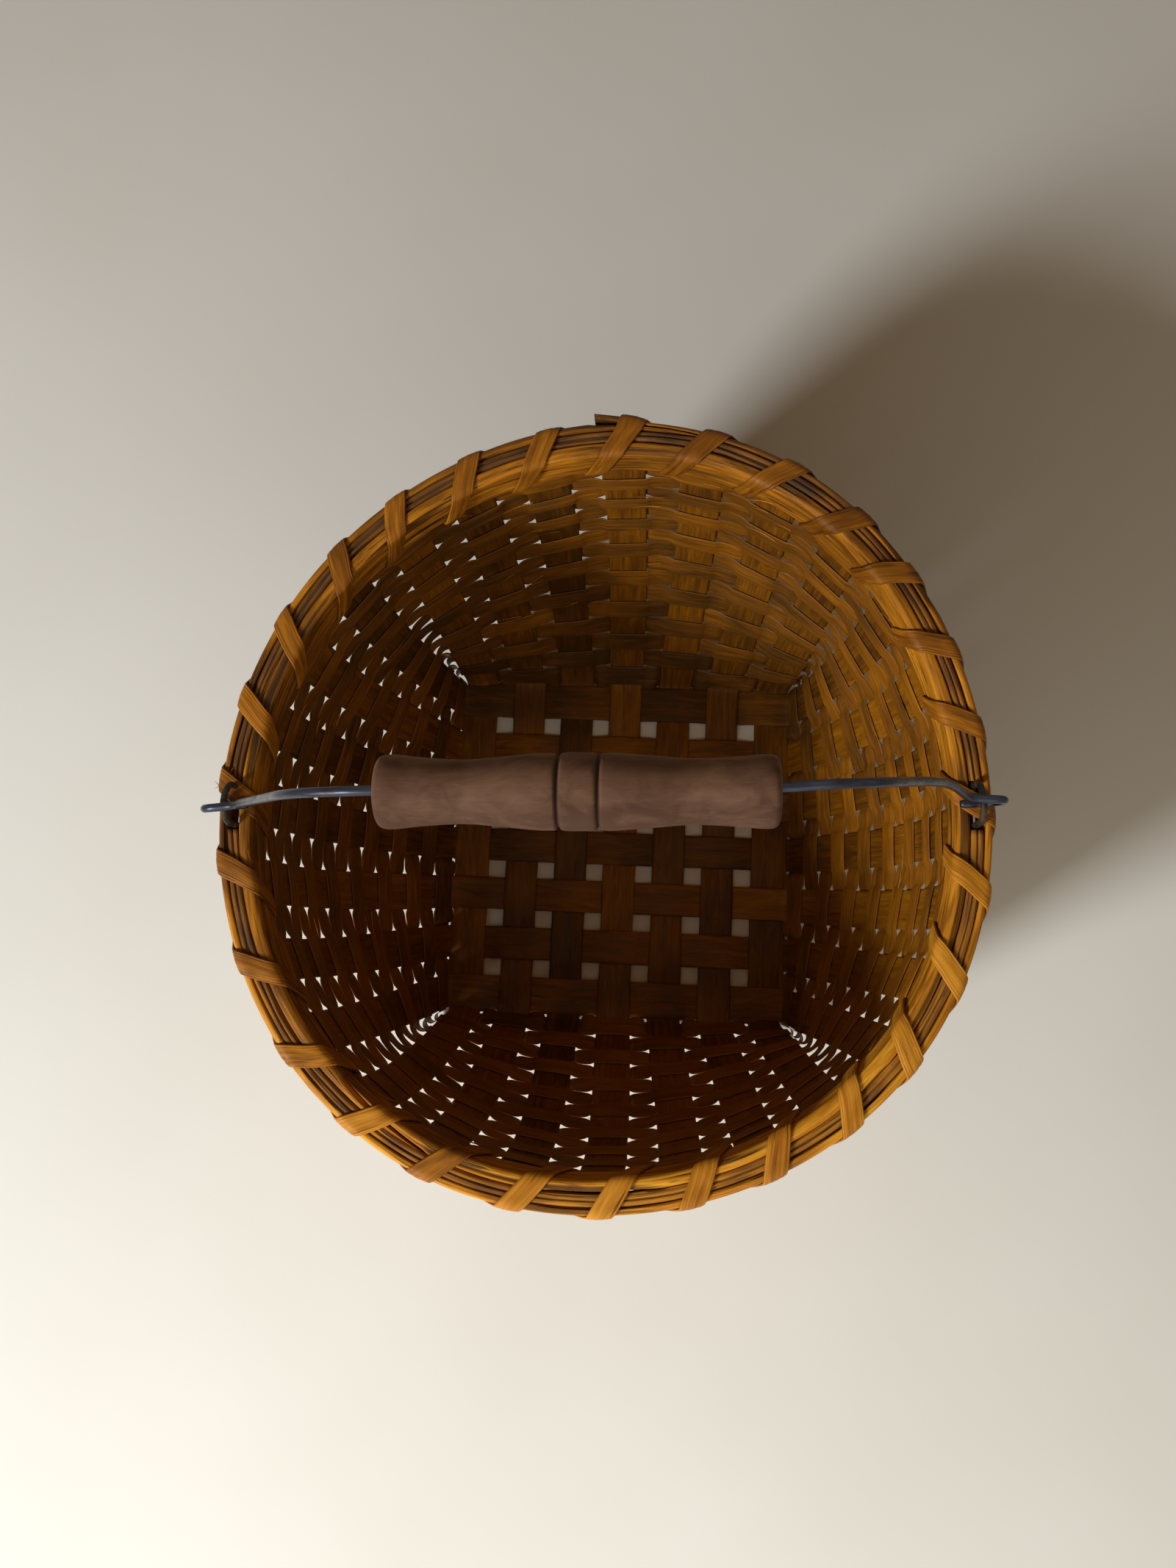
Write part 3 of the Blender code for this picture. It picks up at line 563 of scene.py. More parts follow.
def weaver(row, low, high, finish, tuck=0.0, over_steps=5, gap_steps=11):
    """One row round the uprights. Over an upright it lies flat at +-WEAVER_OFFSET with a slight crown.
    Between two it follows the wall's cubic, and its offset falls away from both as (1 - g)^CROSSING_POWER
    and g^CROSSING_POWER, later towards the low corners, where the weave stays open. The lowest row is
    tucked in at its lower edge between the uprights, and arches over the base's corners, where the low
    rows stand off by up to CORNER_BULGE and lean, lower edge out, by CORNER_TILT sin(pi g)."""
    across, depth, s = flat_strip(1.0, ROW_THICKNESS, 10, 24)
    reach = np.linspace(-1.0, 1.0, over_steps)
    between = np.linspace(0.0, 1.0, gap_steps + 2)[1:-1]
    place = np.arange(UPRIGHTS)[:, None, None]
    side = np.where((place + row) % 2 == 1, 1.0, -1.0)
    after = np.where((place + 1 + row) % 2 == 1, 1.0, -1.0)
    half_over = WEAVER_REACH / SPLINT_PITCH
    local = joined(reach * half_over, blended(half_over, 1 - half_over, between))
    turn = (place + local[None, :, None]) * UPRIGHT_STEP
    drift = ROW_DRIFT * wander(turn, 100 + row, 14)
    slack = 1.0 - ROW_SLACK * (1 + wander(turn, 300 + row, 14)) / 2
    corner = (place % 7 == 6) * (1.0 - eased(low / CORNER_REACH))
    arch = np.sin(np.pi * np.clip(local, 0.0, 1.0))[None, :, None]
    bottom = low + (tuck > 0) * corner * CORNER_LIFT * arch
    height = (bottom + high) / 2 + drift + (high - bottom) / 2 * s * slack
    over = height[:, :over_steps]
    middle, along, out = wall_at(place, over)
    reached = reach[None, :, None]
    crown = ROW_CROWN * side * (1 - reached**2)
    low_share = 1.0 - eased(low / BULGE_REACH)
    turning, turned = (place % 7 == 6) * low_share, (place % 7 == 0) * low_share
    off = turning * np.clip(reached, 0.0, 1.0) ** 2 + turned * np.clip(-reached, 0.0, 1.0) ** 2
    off = 0.5 * CORNER_BULGE * (side > 0) * off
    lay = (side * WEAVER_OFFSET + depth + crown + off)[..., None]
    flat = middle + along * (reach * WEAVER_REACH)[None, :, None, None] + out * lay
    gap = height[:, over_steps:]
    middle, leaving, out = wall_at(place, gap)
    first = middle + leaving * WEAVER_REACH
    middle, landing, next_out = wall_at(place + 1, gap)
    second = middle - landing * WEAVER_REACH
    chord = np.linalg.norm(second - first, axis=-1, keepdims=True)
    t = between[None, :, None, None]
    curve = cubic(first, leaving * chord, second, landing * chord, t)
    g = between[None, :, None]
    bow = np.sin(np.pi * g)
    power = blended(CROSSING_POWER, CORNER_POWER, corner)
    lay = WEAVER_OFFSET * (side * (1 - g) ** power + after * g**power) + depth
    bulge = 0.5 * (side > 0) * (1 - g) ** 2 + 0.5 * (after > 0) * g**2 + 0.8 * bow
    lay = lay + CORNER_BULGE * turning * bulge - CORNER_TILT * corner * bow * s
    lay = lay - tuck * (1.0 - corner) * bow**0.5 * (1 - s) / 2
    curve = curve + unit(blended(out, next_out, t)) * lay[..., None]
    points = np.concatenate((flat, curve), 1).reshape(-1, len(s), 3)
    line = points.mean(1)
    u = run_length(joined(line, line[:1])) + 1.7 * row
    outline = beside(across * (high - low), depth)
    v = closed_length(outline) + 0.37 * row
    turn = turn.reshape(-1)
    tint = np.random.default_rng(40 + row).normal(0.0, 0.30) + 0.35 * wander(turn, 500 + row, 20, 0.3)
    # Painted shade towards the base and painted light and shade by side go into the row's tone
    tint = tint - painted_low_shade((low + high) / 2) + painted_side_light(WEAVE_TURN - 3 * UPRIGHT_STEP + turn)
    # The row's edges get painted shade through the shade attribute
    skin(f"row_{row + 1:02d}", f"weaver_{row + 1:02d}", "basket", finish, points, u, v,
         True, tint[:, None], np.abs(s) ** 14 * EDGE_SHADE)


def build_rows(finish):
    edges = row_edges()
    for row in range(ROWS_UNDER_RIM):
        low, high = edges[row] + ROW_SLIT / 2, edges[row + 1] - ROW_SLIT / 2
        if row == 0:
            weaver(row, LOWEST_ROW, high, finish, LOWEST_TUCK)
        else:
            weaver(row, low, min(high, ROWS_TOP), finish)
    weaver(ROWS_UNDER_RIM, HOOP_BOTTOM, RIM_ROW_TOP, finish)


def splint(axis, number, finish):
    """One long splint: down the wall, across the base at BASE_MIDDLE +- BASE_WAVE tanh(2.2 cos(pi x /
    pitch)) / tanh(2.2), and up the far wall, softened where it turns up."""
    last = 6
    start, end = (14 + last - number, number) if axis == 0 else (21 + number, 7 + last - number)
    turn = WEAVE_TURN + axis * np.pi / 2
    run = np.array((np.cos(turn), np.sin(turn), 0.0))
    side = np.array((-np.sin(turn), np.cos(turn), 0.0))
    shift = (number - 3) * SPLINT_PITCH * (1 - 2 * axis)
    climb = np.linspace(FIRST_ROW_HEIGHT, UPRIGHT_TOP, 120)
    down_wall, down_along, _ = wall_at(np.full(120, start), climb[::-1])
    up_wall, up_along, _ = wall_at(np.full(120, end), climb)
    reach = np.linspace(-BASE_EDGE, BASE_EDGE, 240)
    top = 1.0 if (number + 3 + axis) % 2 == 0 else -1.0
    wave = np.tanh(2.2 * top * np.cos(np.pi * reach / SPLINT_PITCH)) / np.tanh(2.2)
    base = run * reach[:, None] + side * shift
    base[:, 2] = BASE_MIDDLE + BASE_WAVE * wave
    path = joined(down_wall, base, up_wall)
    wide = joined(-down_along, np.broadcast_to(side, base.shape), up_along)
    both = np.concatenate((path, wide), 1)
    length = run_length(path)
    count = int(length[-1] / 0.0013)
    even = np.linspace(0.0, length[-1], count)
    both = softened(read_at(even, length, both), 1.3)
    path, wide = both[:, :3], both[:, 3:]
    ahead = unit(np.gradient(path, axis=0))
    wide = unit(wide - ahead * (wide * ahead).sum(-1, keepdims=True))
    out = np.cross(wide, ahead)
    across, depth, s = flat_strip(SPLINT_WIDTH, SPLINT_THICKNESS, 12)
    seed = 10 * axis + number
    risen = eased((path[:, 2] - TURN_UP_HEIGHT) / TURN_UP_REACH)
    swell = 1.0 + 0.012 * wander(even * 9.0, 60 + seed, 20, 0.4)
    swell = blended(1.0, UPRIGHT_WIDTH / SPLINT_WIDTH, risen) * swell
    across_path = across * swell[:, None]
    outermost = (number == 6) * 1.0 - (number == 0) * 1.0
    on_base = eased((BASE_EDGE - 0.008 - np.abs(path @ run)) / 0.006)[:, None]
    outer_side = np.sign(shift) * s > 0.5
    across_path = across_path + np.abs(outermost) * on_base * outer_side * np.sign(shift) * OUTER_EDGE_REACH
    points = path[:, None] + wide[:, None] * across_path[..., None]
    thinner = blended(1.0, UPRIGHT_THICKNESS / SPLINT_THICKNESS, risen)
    points = points + out[:, None] * (depth * thinner[:, None])[..., None]
    tint = np.random.default_rng(80 + seed).normal(0.0, 0.35)
    # Painted shade towards the base and painted light and shade by side go into the splint's tone
    tint = tint + 0.35 * wander(even * 9.0, 700 + seed, 20, 0.3) - painted_low_shade(path[:, 2])
    tint = tint + painted_side_light(np.arctan2(path[:, 1], path[:, 0])) * eased(path[:, 2] / 0.03)
    v = closed_length(beside(across, depth)) + 0.41 * seed
    label = f"{'xy'[axis]}_{number + 1}"
    # The splint's edges get painted shade through the shade attribute
    skin(f"rib_{label}", f"splint_{label}", "basket", finish, points, even + 1.3 * seed,
         v, False, tint[:, None], np.abs(s) ** 14 * EDGE_SHADE)


def build_splints(finish):
    for axis in (0, 1):
        for number in range(7):
            splint(axis, number, finish)


# ---- rim ----


def rounded(low, high, corners, count):
    """Outline of a block from low to high, its four corners rounded by their own (out, up) radii,
    as points at equal steps. Corners go from low-low round through high-low."""
    signs = ((-1, -1), (1, -1), (1, 1), (-1, 1))
    parts = []
    for k, ((sx, sy), (rx, ry)) in enumerate(zip(signs, corners)):
        angle = np.radians(np.linspace(180 + 90 * k, 270 + 90 * k, 14))
        middle_x = (high[0] - rx) if sx > 0 else (low[0] + rx)
        middle_y = (high[1] - ry) if sy > 0 else (low[1] + ry)
        parts.append(beside(middle_x + rx * np.cos(angle), middle_y + ry * np.sin(angle)))
    outline = np.concatenate(parts)
    return spaced(joined(outline, outline[:1]), count + 1)[:-1]


def pressed(outline, press):
    """A closed outline's out and height, moved by press along its slope turned by a quarter."""
    slope = unit(np.roll(outline, -1, 0) - np.roll(outline, 1, 0))
    return outline[:, 0] + slope[:, 1] * press, outline[:, 1] - slope[:, 0] * press


def round_rim(angle, out, height):
    """Points at a distance out from the wall's middle and a height, square to the rim."""
    middle, _, outwards = rim_frame(angle)
    if angle.ndim < out.ndim:
        middle, outwards = middle[:, None], outwards[:, None]
    return np.concatenate((middle + outwards * out[..., None], height[..., None]), -1)


def lap_tail(near_end, tail_share, thick):
    """How much of its thickness a hoop's tail keeps and how far it stands off, at a share of the lap from
    its end: as far as it and the thinned start need, and LOOSE_TAIL (1 - share)^4 more at a loose end."""
    tail = np.maximum(LAP_TIP + LAP_GROWTH * near_end, tail_share * eased((0.9 - near_end) / 0.7))
    under = LAP_TIP + LAP_GROWTH * (1.0 - near_end)
    stand = np.maximum(0.0, (under + tail - 1.0) * thick + 0.0002) + LOOSE_TAIL * (1.0 - near_end) ** 4
    return tail, stand * (tail_share > 0.1)


def hoop(name, outline, tail_turn, tail_share, fissure, seed, finish):
    """A bent hoop: its outline goes round with long ridges and splits pressed into it. Its start thins
    out inside its tail, which ends at tail_share of the thickness and stands off where they would meet."""
    inner, outer = outline[:, 0].min(), outline[:, 0].max()
    thick = outer - inner
    lap = SCARF_LENGTH / rim_radius(tail_turn)
    full = 2 * np.pi
    turn = np.linspace(0.0, full + lap, 360)[:, None]
    u = turn[:, 0] * RIM_MIDDLE
    v = closed_length(outline)
    ridge = ridges(u, v[:-1], 0.030, 0.0011, seed) - 0.5
    split = ridges(u, v[:-1], 0.048, 0.0016, seed + 1)
    split = eased((split - 0.66) / 0.16)
    press = 0.00030 * ridge - fissure * split - 0.00012
    out, height = pressed(outline, press)
    height = height + 0.00018 * wander(turn, seed + 2, 12)
    start = np.clip(LAP_TIP + LAP_GROWTH * turn / lap, 0.0, 1.0)
    start = np.where(turn > lap, 1.0, start)
    near_end = np.clip((full + lap - turn) / lap, 0.0, 1.0)
    tail, stand = lap_tail(near_end, tail_share, thick)
    out = inner + (out - inner) * start
    out = np.where(turn > full, outer - (outer - out) * tail + stand, out)
    angle = tail_turn - lap + turn[:, 0]
    points = round_rim(angle, out, height)
    # The hoop's tone carries painted light and shade by side
    tint = 0.45 * wander(turn, seed + 3, 24, 0.2) + painted_side_light(angle[:, None])
    # Painted shade in the pressed splits, given as the shade attribute
    skin(name, f"rim_{name}", "basket", finish, points, u + seed, v + seed * 0.3, False, tint,
         split * 0.8)


def build_hoops(finish):
    face, top = GROOVE_HALF, BASKET_HEIGHT
    outer = rounded((face, top - OUTER_HOOP_HEIGHT), (face + OUTER_HOOP_THICKNESS, top),
                    ((0.0006, 0.0006), (0.0022, 0.0030), (0.0019, 0.0022), (0.0009, 0.0009)), 84)
    hoop("outer_hoop", outer, OUTER_TAIL_TURN, TAIL_SHARE, 0.00045, 11, finish)
    inner = rounded((-face - INNER_HOOP_THICKNESS, HOOP_BOTTOM), (-face, top),
                    ((0.0012, 0.0014), (0.0005, 0.0005), (0.0009, 0.0009), (0.0024, 0.0022)), 96)
    hoop("inner_hoop", inner, np.radians(243.0), 0.0, 0.00055, 23, finish)


def build_fillers(finish):
    """Two reeds side by side in the groove, made as one with a seam exp(-(x / 0.3 mm)^2) along its top,
    wavering a little, in two lengths that stop short of the ears."""
    outline = rounded((-0.0020, FILLER_BOTTOM), (0.0020, FILLER_BOTTOM + 0.0047),
                      ((0.0007, 0.0007), (0.0007, 0.0007), (0.0011, 0.0011), (0.0011, 0.0011)), 84)
    seam = np.where(outline[:, 1] > FILLER_BOTTOM + 0.003, np.exp(-((outline[:, 0] / 0.00030) ** 2)), 0.0)
    v = closed_length(outline)
    for seed, (name, begin) in enumerate((("filler_back", 0.0), ("filler_front", np.pi))):
        first = begin + 0.0083 / rim_radius(begin)
        last = begin + np.pi - 0.0083 / rim_radius(begin + np.pi)
        angle = np.linspace(first, last, 200)
        u = angle * RIM_MIDDLE
        split = eased((ridges(u, v[:-1], 0.030, 0.0011, 70 + seed) - 0.70) / 0.16)
        ridge = ridges(u, v[:-1], 0.016, 0.0008, 80 + seed) - 0.5
        press = 0.00030 * ridge - 0.00040 * split - 0.00075 * seam
        out, height = pressed(outline, press)
        out = out + 0.00012 * wander(angle * 2, 90 + seed, 20)[:, None]
        height = height + 0.00018 * wander(angle * 2, 95 + seed, 20)[:, None]
        # The filler's tone carries painted light and shade by side
        tint = (0.45 * wander(angle * 2, 97 + seed, 24, 0.2) + painted_side_light(angle))[:, None]
        # Painted shade in the seam between the reeds and in the pressed splits, given as the shade
        # attribute
        points, shade = round_rim(angle, out, height), np.maximum(split * 0.4, seam * 0.7)
        skin(name, f"rim_{name}", "basket", finish, points, u + 3 + seed, v + seed, False,
             tint, shade)


# Where each lashing turn crosses the rim, in degrees, from the first upright's turn on
LASH_CROSSINGS = (-38.1, -25.0, -11.3, 0.3, 13.5, 25.9, 38.8, 49.5, 62.1, 74.7, 87.1, 100.0, 112.6, 125.7,
                  137.5, 151.5, 164.9, 178.2, 190.5, 206.0, 221.8, 234.5, 246.2, 259.4, 272.2, 285.2,
                  297.2, 310.0)
# One turn round the rim: distance out, height over the slot, share of the way to the next slot, width
LASH_TURN = (
    (0.00, 168.3, 0.00, 0.70), (4.60, 168.5, 0.05, 0.86), (5.75, 170.2, 0.10, 0.96),
    (5.82, 176.0, 0.24, 1.00), (5.78, 181.2, 0.37, 1.00), (5.20, 184.2, 0.42, 1.00),
    (3.50, 185.5, 0.46, 1.00), (0.00, 185.55, 0.54, 1.00), (-5.00, 185.5, 0.66, 1.00),
    (-6.90, 184.5, 0.71, 1.00), (-7.42, 182.6, 0.75, 0.99), (-7.45, 176.0, 0.84, 0.96),
    (-7.35, 170.6, 0.93, 0.90), (-6.20, 168.7, 0.97, 0.80),
)
LASH_MIDDLE_SHARE = 0.58


def lash_slip(place):
    """How far each turn has slipped round the rim from its even place, joined straight between turns."""
    even = np.arange(UPRIGHTS)
    middle = upright_angle(even + LASH_MIDDLE_SHARE - 0.5)
    slip = np.radians(LASH_CROSSINGS) - middle
    slip = np.clip((slip + np.pi) % (2 * np.pi) - np.pi, np.radians(-2.6), np.radians(2.6))
    return np.interp(place - LASH_MIDDLE_SHARE + 0.5, even, slip, period=UPRIGHTS)


def lashing(part, first, turns, finish):
    """A ribbon wound over the hoops. Its middle line is the cubic through LASH_TURN, once for each
    upright, and its rows are cut along the rim, wider where it runs aslant. Ridges run along it, and
    the outer hoop's tail pushes it out."""
    shape = np.array(LASH_TURN)
    parts = [shape + (0, 0, turn, 0) for turn in range(turns)]
    knots = joined(*parts, shape[:1] + (0, 0, turns, 0))
    path = through(knots, 5)
    out, height, place, wide = path[:, 0] / 1000, path[:, 1] / 1000, first - 0.5 + path[:, 2], path[:, 3]
    out[0], out[-1] = 0.0005, -0.0005
    step = np.gradient(beside(out, height), axis=0)
    round_step = np.linalg.norm(step, axis=-1)
    aslant = np.hypot(round_step, np.gradient(place) * LASH_PITCH) / round_step
    aslant = np.clip(softened(np.clip(aslant, 1.0, 1.9)[:, None], 2.0)[:, 0], 1.0, 1.7)
    normal = unit(beside(-step[:, 1], step[:, 0])) * -1.0
    across, depth, s = flat_strip(LASH_WIDTH, LASHING_THICKNESS, 30, 10)
    outside = depth > 0
    u = run_length(beside(out, height, place * LASH_PITCH))
    strength = 0.6 + 0.8 * ridges(u, across, 0.02, 0.001, 31)
    ridge = 0.00007 * np.cos(2 * np.pi * LASH_RIDGES * s) * strength
    crown = 0.00022 * (1 - s**2)
    lift = depth + np.where(outside, ridge + crown, crown * 0.4)
    along = place[:, None] + across * (wide * aslant)[:, None] / LASH_PITCH
    angle = upright_angle(along) + lash_slip(place)[:, None]
    near_end = (OUTER_TAIL_TURN - angle) / (SCARF_LENGTH / rim_radius(OUTER_TAIL_TURN))
    pushed = lap_tail(np.clip(near_end, 0.0, 1.0), TAIL_SHARE, OUTER_HOOP_THICKNESS)[1]
    pushed = pushed * eased((near_end + 0.1) / 0.1) * (near_end < 1) * eased((out[:, None] - 0.002) / 0.003)
    spread = out[:, None] + normal[:, None, 0] * lift + pushed
    points = round_rim(angle, spread, height[:, None] + normal[:, None, 1] * lift)
    turn_tint = np.random.default_rng(5 + first).normal(0.0, 0.45, turns + 1)
    tint = np.interp(place - first + 0.5, np.arange(turns + 1) + 0.5, turn_tint)
    # The lashing's tone carries painted light and shade by side
    tint = (tint + painted_side_light(upright_angle(place)))[:, None]
    # Painted shade in the valleys between the ridges and along both edges, given as the shade attribute
    valley = np.where(outside, np.clip(-np.cos(2 * np.pi * LASH_RIDGES * s), 0, 1) * 0.22, 0.0)
    shade = np.maximum(valley, np.abs(s) ** 12 * 0.6)
    v = closed_length(beside(across, depth)) + first
    skin(f"lash_{part}", f"rim_lashing_{part}", "basket", finish, points, u + first, v,
         False, tint, shade)


# Slivers that have come loose at the rim: turn in degrees, start (out, height), run along the rim and end
# (out, height), all in mm
RIM_SLIVERS = (
    (176.5, 5.4, 183.0, 2.6, 6.9, 185.2), (177.6, 5.2, 184.0, -2.4, 6.6, 186.4),
    (187.2, -5.6, 184.9, 5.0, -7.4, 185.6), (174.2, 1.6, 184.8, 3.4, 2.4, 186.6),
    (26.0, -7.3, 176.0, 16.0, -9.0, 163.0), (33.0, -7.4, 172.0, 9.0, -8.2, 165.0),
    (8.0, -7.3, 171.0, -11.0, -6.8, 164.0), (352.0, -7.3, 172.0, 12.0, -7.4, 164.0),
    (61.0, -7.3, 173.0, 10.0, -8.0, 167.0), (118.0, -7.3, 172.0, -9.0, -7.8, 165.0),
    (232.0, -7.3, 171.0, 10.0, -8.2, 164.0), (318.0, -7.3, 171.0, 11.0, -8.2, 163.0),
    (203.0, -7.3, 172.0, -8.0, -8.0, 166.0), (14.0, -7.4, 178.0, 13.0, -8.4, 171.0),
    (96.0, 5.6, 180.0, 6.0, 7.0, 183.0),
)
WALL_SLIVERS = 64


def loose_slivers(finish):
    """Thin fibres that have lifted off, four-sided and drawn to a point: each runs from its start to its
    end as t, with a lift off the surface that grows as t^2."""
    t = np.linspace(0.0, 1.0, 12)[None, :]
    dice = np.random.default_rng(77)
    turn, out, height, run, far_out, far_height = (v[:, None] for v in np.array(RIM_SLIVERS).T)
    angle = np.radians(turn) + run / 1000 / RIM_MIDDLE * t
    rim_paths = round_rim(angle, blended(out, far_out, t**2) / 1000,
                          blended(height, far_height, t**1.4) / 1000)
    side = dice.integers(0, 4, WALL_SLIVERS)[:, None]
    step = dice.uniform(0.3, 5.0, WALL_SLIVERS)[:, None]
    low = (0.166 - 0.120 * dice.random(WALL_SLIVERS) ** 1.6)[:, None]
    run = dice.uniform(0.004, 0.013, WALL_SLIVERS)[:, None]
    drop = (run[:, 0] * dice.normal(0.0, 0.22, WALL_SLIVERS))[:, None]
    lift = dice.uniform(0.0003, 0.0016, WALL_SLIVERS)[:, None]
    place, level = side * 7 + step + run * t / SPLINT_PITCH, np.clip(low + drop * t, 0.02, 0.167)
    middle, _, out_dir = wall_at(place, level)
    wall_paths = middle - out_dir * (WEAVER_OFFSET + ROW_THICKNESS / 2 + lift * t**2)[..., None]
    paths = joined(rim_paths, wall_paths)
    ahead = unit(np.gradient(paths, axis=1))
    across = unit(np.cross(ahead, (0.0, 0.0, 1.0)))
    upwards = np.cross(across, ahead)
    thick = dice.uniform(0.00007, 0.00017, len(paths))[:, None] * (1.0 - 0.85 * t**2)
    corner = np.radians((0, 90, 180, 270))
    ring = across[:, :, None] * np.cos(corner)[None, None, :, None] * 1.6
    ring = ring + upwards[:, :, None] * np.sin(corner)[None, None, :, None]
    points = paths[:, :, None] + ring * thick[..., None, None]
    pieces, rows, sides = points.shape[:3]
    k, i, j = np.meshgrid(np.arange(pieces), np.arange(rows - 1), np.arange(sides), indexing="ij")
    base = (k * rows + i) * sides
    after = (j + 1) % sides
    quads = beside(base + j, base + after, base + sides + after, base + sides + j).reshape(-1, 4)
    first = np.arange(pieces)[:, None] * rows * sides
    caps = joined(first + (3, 2, 1, 0), first + (rows - 1) * sides + (0, 1, 2, 3))
    along = joined(beside(i, i, i + 1, i + 1).reshape(-1, 4), np.zeros((2 * pieces, 4)))
    grain = beside(along * 0.0015, np.broadcast_to((0.0, 0.0002, 0.0002, 0.0), along.shape))
    tint = np.broadcast_to(dice.normal(0.2, 0.9, pieces)[:, None, None], points.shape[:3]).ravel()
    made("loose_slivers", "basket", finish, points.reshape(-1, 3),
         quads.tolist() + caps.tolist(), grain, tint, 0.0 * tint)


# ---- ears, bail and grip ----


def arc(middle, radius, begin, end, steps):
    """Points at middle + radius (cos a, sin a), for a from begin to end."""
    angle = np.linspace(begin, end, steps)
    return beside(middle[0] + radius * np.cos(angle), middle[1] + radius * np.sin(angle))


def tube(name, node, body, finish, path, radius, square_to, pitting, seed, sides=20, step=0.0007):
    """A wire along a path: circles of points round it, each starting from the direction square_to, its
    ends drawn in to a blunt cut and its skin pitted by ridges of noise."""
    path = softened(spaced(path, int(run_length(path)[-1] / step)), 1.2)
    ahead = unit(np.gradient(path, axis=0))
    square = np.asarray(square_to, float)
    first = unit(square - ahead * (ahead @ square)[:, None])
    second = np.cross(ahead, first)
    u = run_length(path)
    turn = np.linspace(0.0, 2 * np.pi, sides, endpoint=False)
    near = np.minimum(u, u[-1] - u)
    size = radius * (1.0 - 0.22 * np.exp(-near / 0.00035))[:, None]
    size = size - pitting * ridges(u, turn * radius, 0.0012, radius * 0.7, seed)
    ring = first[:, None] * np.cos(turn)[None, :, None] + second[:, None] * np.sin(turn)[None, :, None]
    points = path[:, None] + ring * size[..., None]
    v = np.linspace(0.0, 2 * np.pi * radius, sides + 1)
    skin(name, node, body, finish, points, u + seed, v)


def build_ears(finish):
    """Each ear is half a turn of wire over two legs that stand in the groove, with feet bent under the
    filler: its points are (along the rim, height), set on the rim's middle line."""
    bend = 0.0022
    foot = np.array(((EAR_LEG + 0.0080, EAR_FOOT_HEIGHT), (EAR_LEG + bend, EAR_FOOT_HEIGHT)))
    corner = arc((EAR_LEG + bend, EAR_FOOT_HEIGHT + bend), bend, 1.5 * np.pi, np.pi, 8)
    top = arc((0.0, PIVOT_HEIGHT), EAR_LEG, 0.0, np.pi / 2, 16)
    half = joined(foot, corner[1:], top)
    whole = joined(half, half[-2::-1] * (-1, 1))
    for seed, (side, angle) in enumerate((("right", 0.0), ("left", np.pi))):
        middle, _, outwards = rim_frame(angle + whole[:, 0] / rim_radius(angle))
        path = np.concatenate((middle - outwards * EAR_INSET, whole[:, 1:]), -1)
        tube(f"ear_loop_{side}", f"ear_{side}", "basket", finish, path, EAR_WIRE / 2,
             (np.cos(angle), 0.0, 0.0), 0.00016, 3 + seed)


def bail_line():
    """The bail as (distance out from its middle, height over the pivot): hook, neck, leg, shoulder and
    the straight that carries the grip."""
    eye = (rim_radius(0.0) + rim_radius(np.pi)) / 2 - EAR_INSET
    hook_out, neck_x, right = eye + 0.002, eye - 0.002, np.pi / 2
    neck = (neck_x, 2 * HOOK_RADIUS + NECK_RADIUS)
    shoulder = (GRIP_LENGTH / 2 + 0.002, BAIL_HEIGHT - SHOULDER_RADIUS)
    dx, dy = shoulder[0] - neck[0], shoulder[1] - neck[1]
    leg = np.arctan2(dy, dx) - np.arcsin((NECK_RADIUS + SHOULDER_RADIUS) / np.hypot(dx, dy))
    return joined(
        ((eye - 0.006, 0.0),),
        arc((hook_out, HOOK_RADIUS), HOOK_RADIUS, -right, right, 28),
        arc(neck, NECK_RADIUS, -right, leg - 3 * right, 12),
        arc(shoulder, SHOULDER_RADIUS, leg - right, right, 40),
    )


def leaned(out, y, height):
    """Points of the bail set on its pivot and leaned: the height tips over towards the front."""
    middle = (rim_radius(0.0) - rim_radius(np.pi)) / 2
    c, s = np.cos(BAIL_LEAN), np.sin(BAIL_LEAN)
    return beside(middle + out, y * c - height * s, PIVOT_HEIGHT + y * s + height * c)


# How far the bent wire sways to the back in mm, at shares of the way from the hook's tail to the grip
RIGHT_SWAY = ((0.0, -0.2), (0.05, 0.2), (0.12, 0.9), (0.20, 1.3), (0.25, 2.6), (0.32, 4.4), (0.41, 5.2),
              (0.54, 4.75), (0.75, 3.2), (0.89, 2.2), (0.95, 1.6), (1.0, 1.1))
LEFT_SWAY = ((0.0, -0.3), (0.04, -0.8), (0.085, -1.6), (0.12, -2.0), (0.155, -1.7), (0.20, -1.0),
             (0.25, -0.4), (0.75, -0.3), (0.92, 0.1), (1.0, 0.3))


def swayed(half, sway):
    """The sway at each point of half the bail, joined straight between the shares and then softened."""
    reach = run_length(half)
    share, back = np.array(sway).T
    even = np.linspace(0.0, 1.0, 400)
    soft = softened(np.interp(even, share, back)[:, None], 6.0)[:, 0]
    return np.interp(reach / reach[-1], even, soft) / 1000


def build_bail(finish):
    """The wire: half of it, mirrored, with each half swayed by hand-made bends."""
    half = spaced(bail_line(), 300)
    line = joined(half, half[::-1] * (-1, 1))
    sway = joined(swayed(half, RIGHT_SWAY), swayed(half, LEFT_SWAY)[::-1])
    path = leaned(line[:, 0], sway, line[:, 1])
    tube("bail", "bail_wire", "bail", finish, path, BAIL_WIRE / 2, (0.0, 1.0, 0.0),
         0.00003, 9, 24)


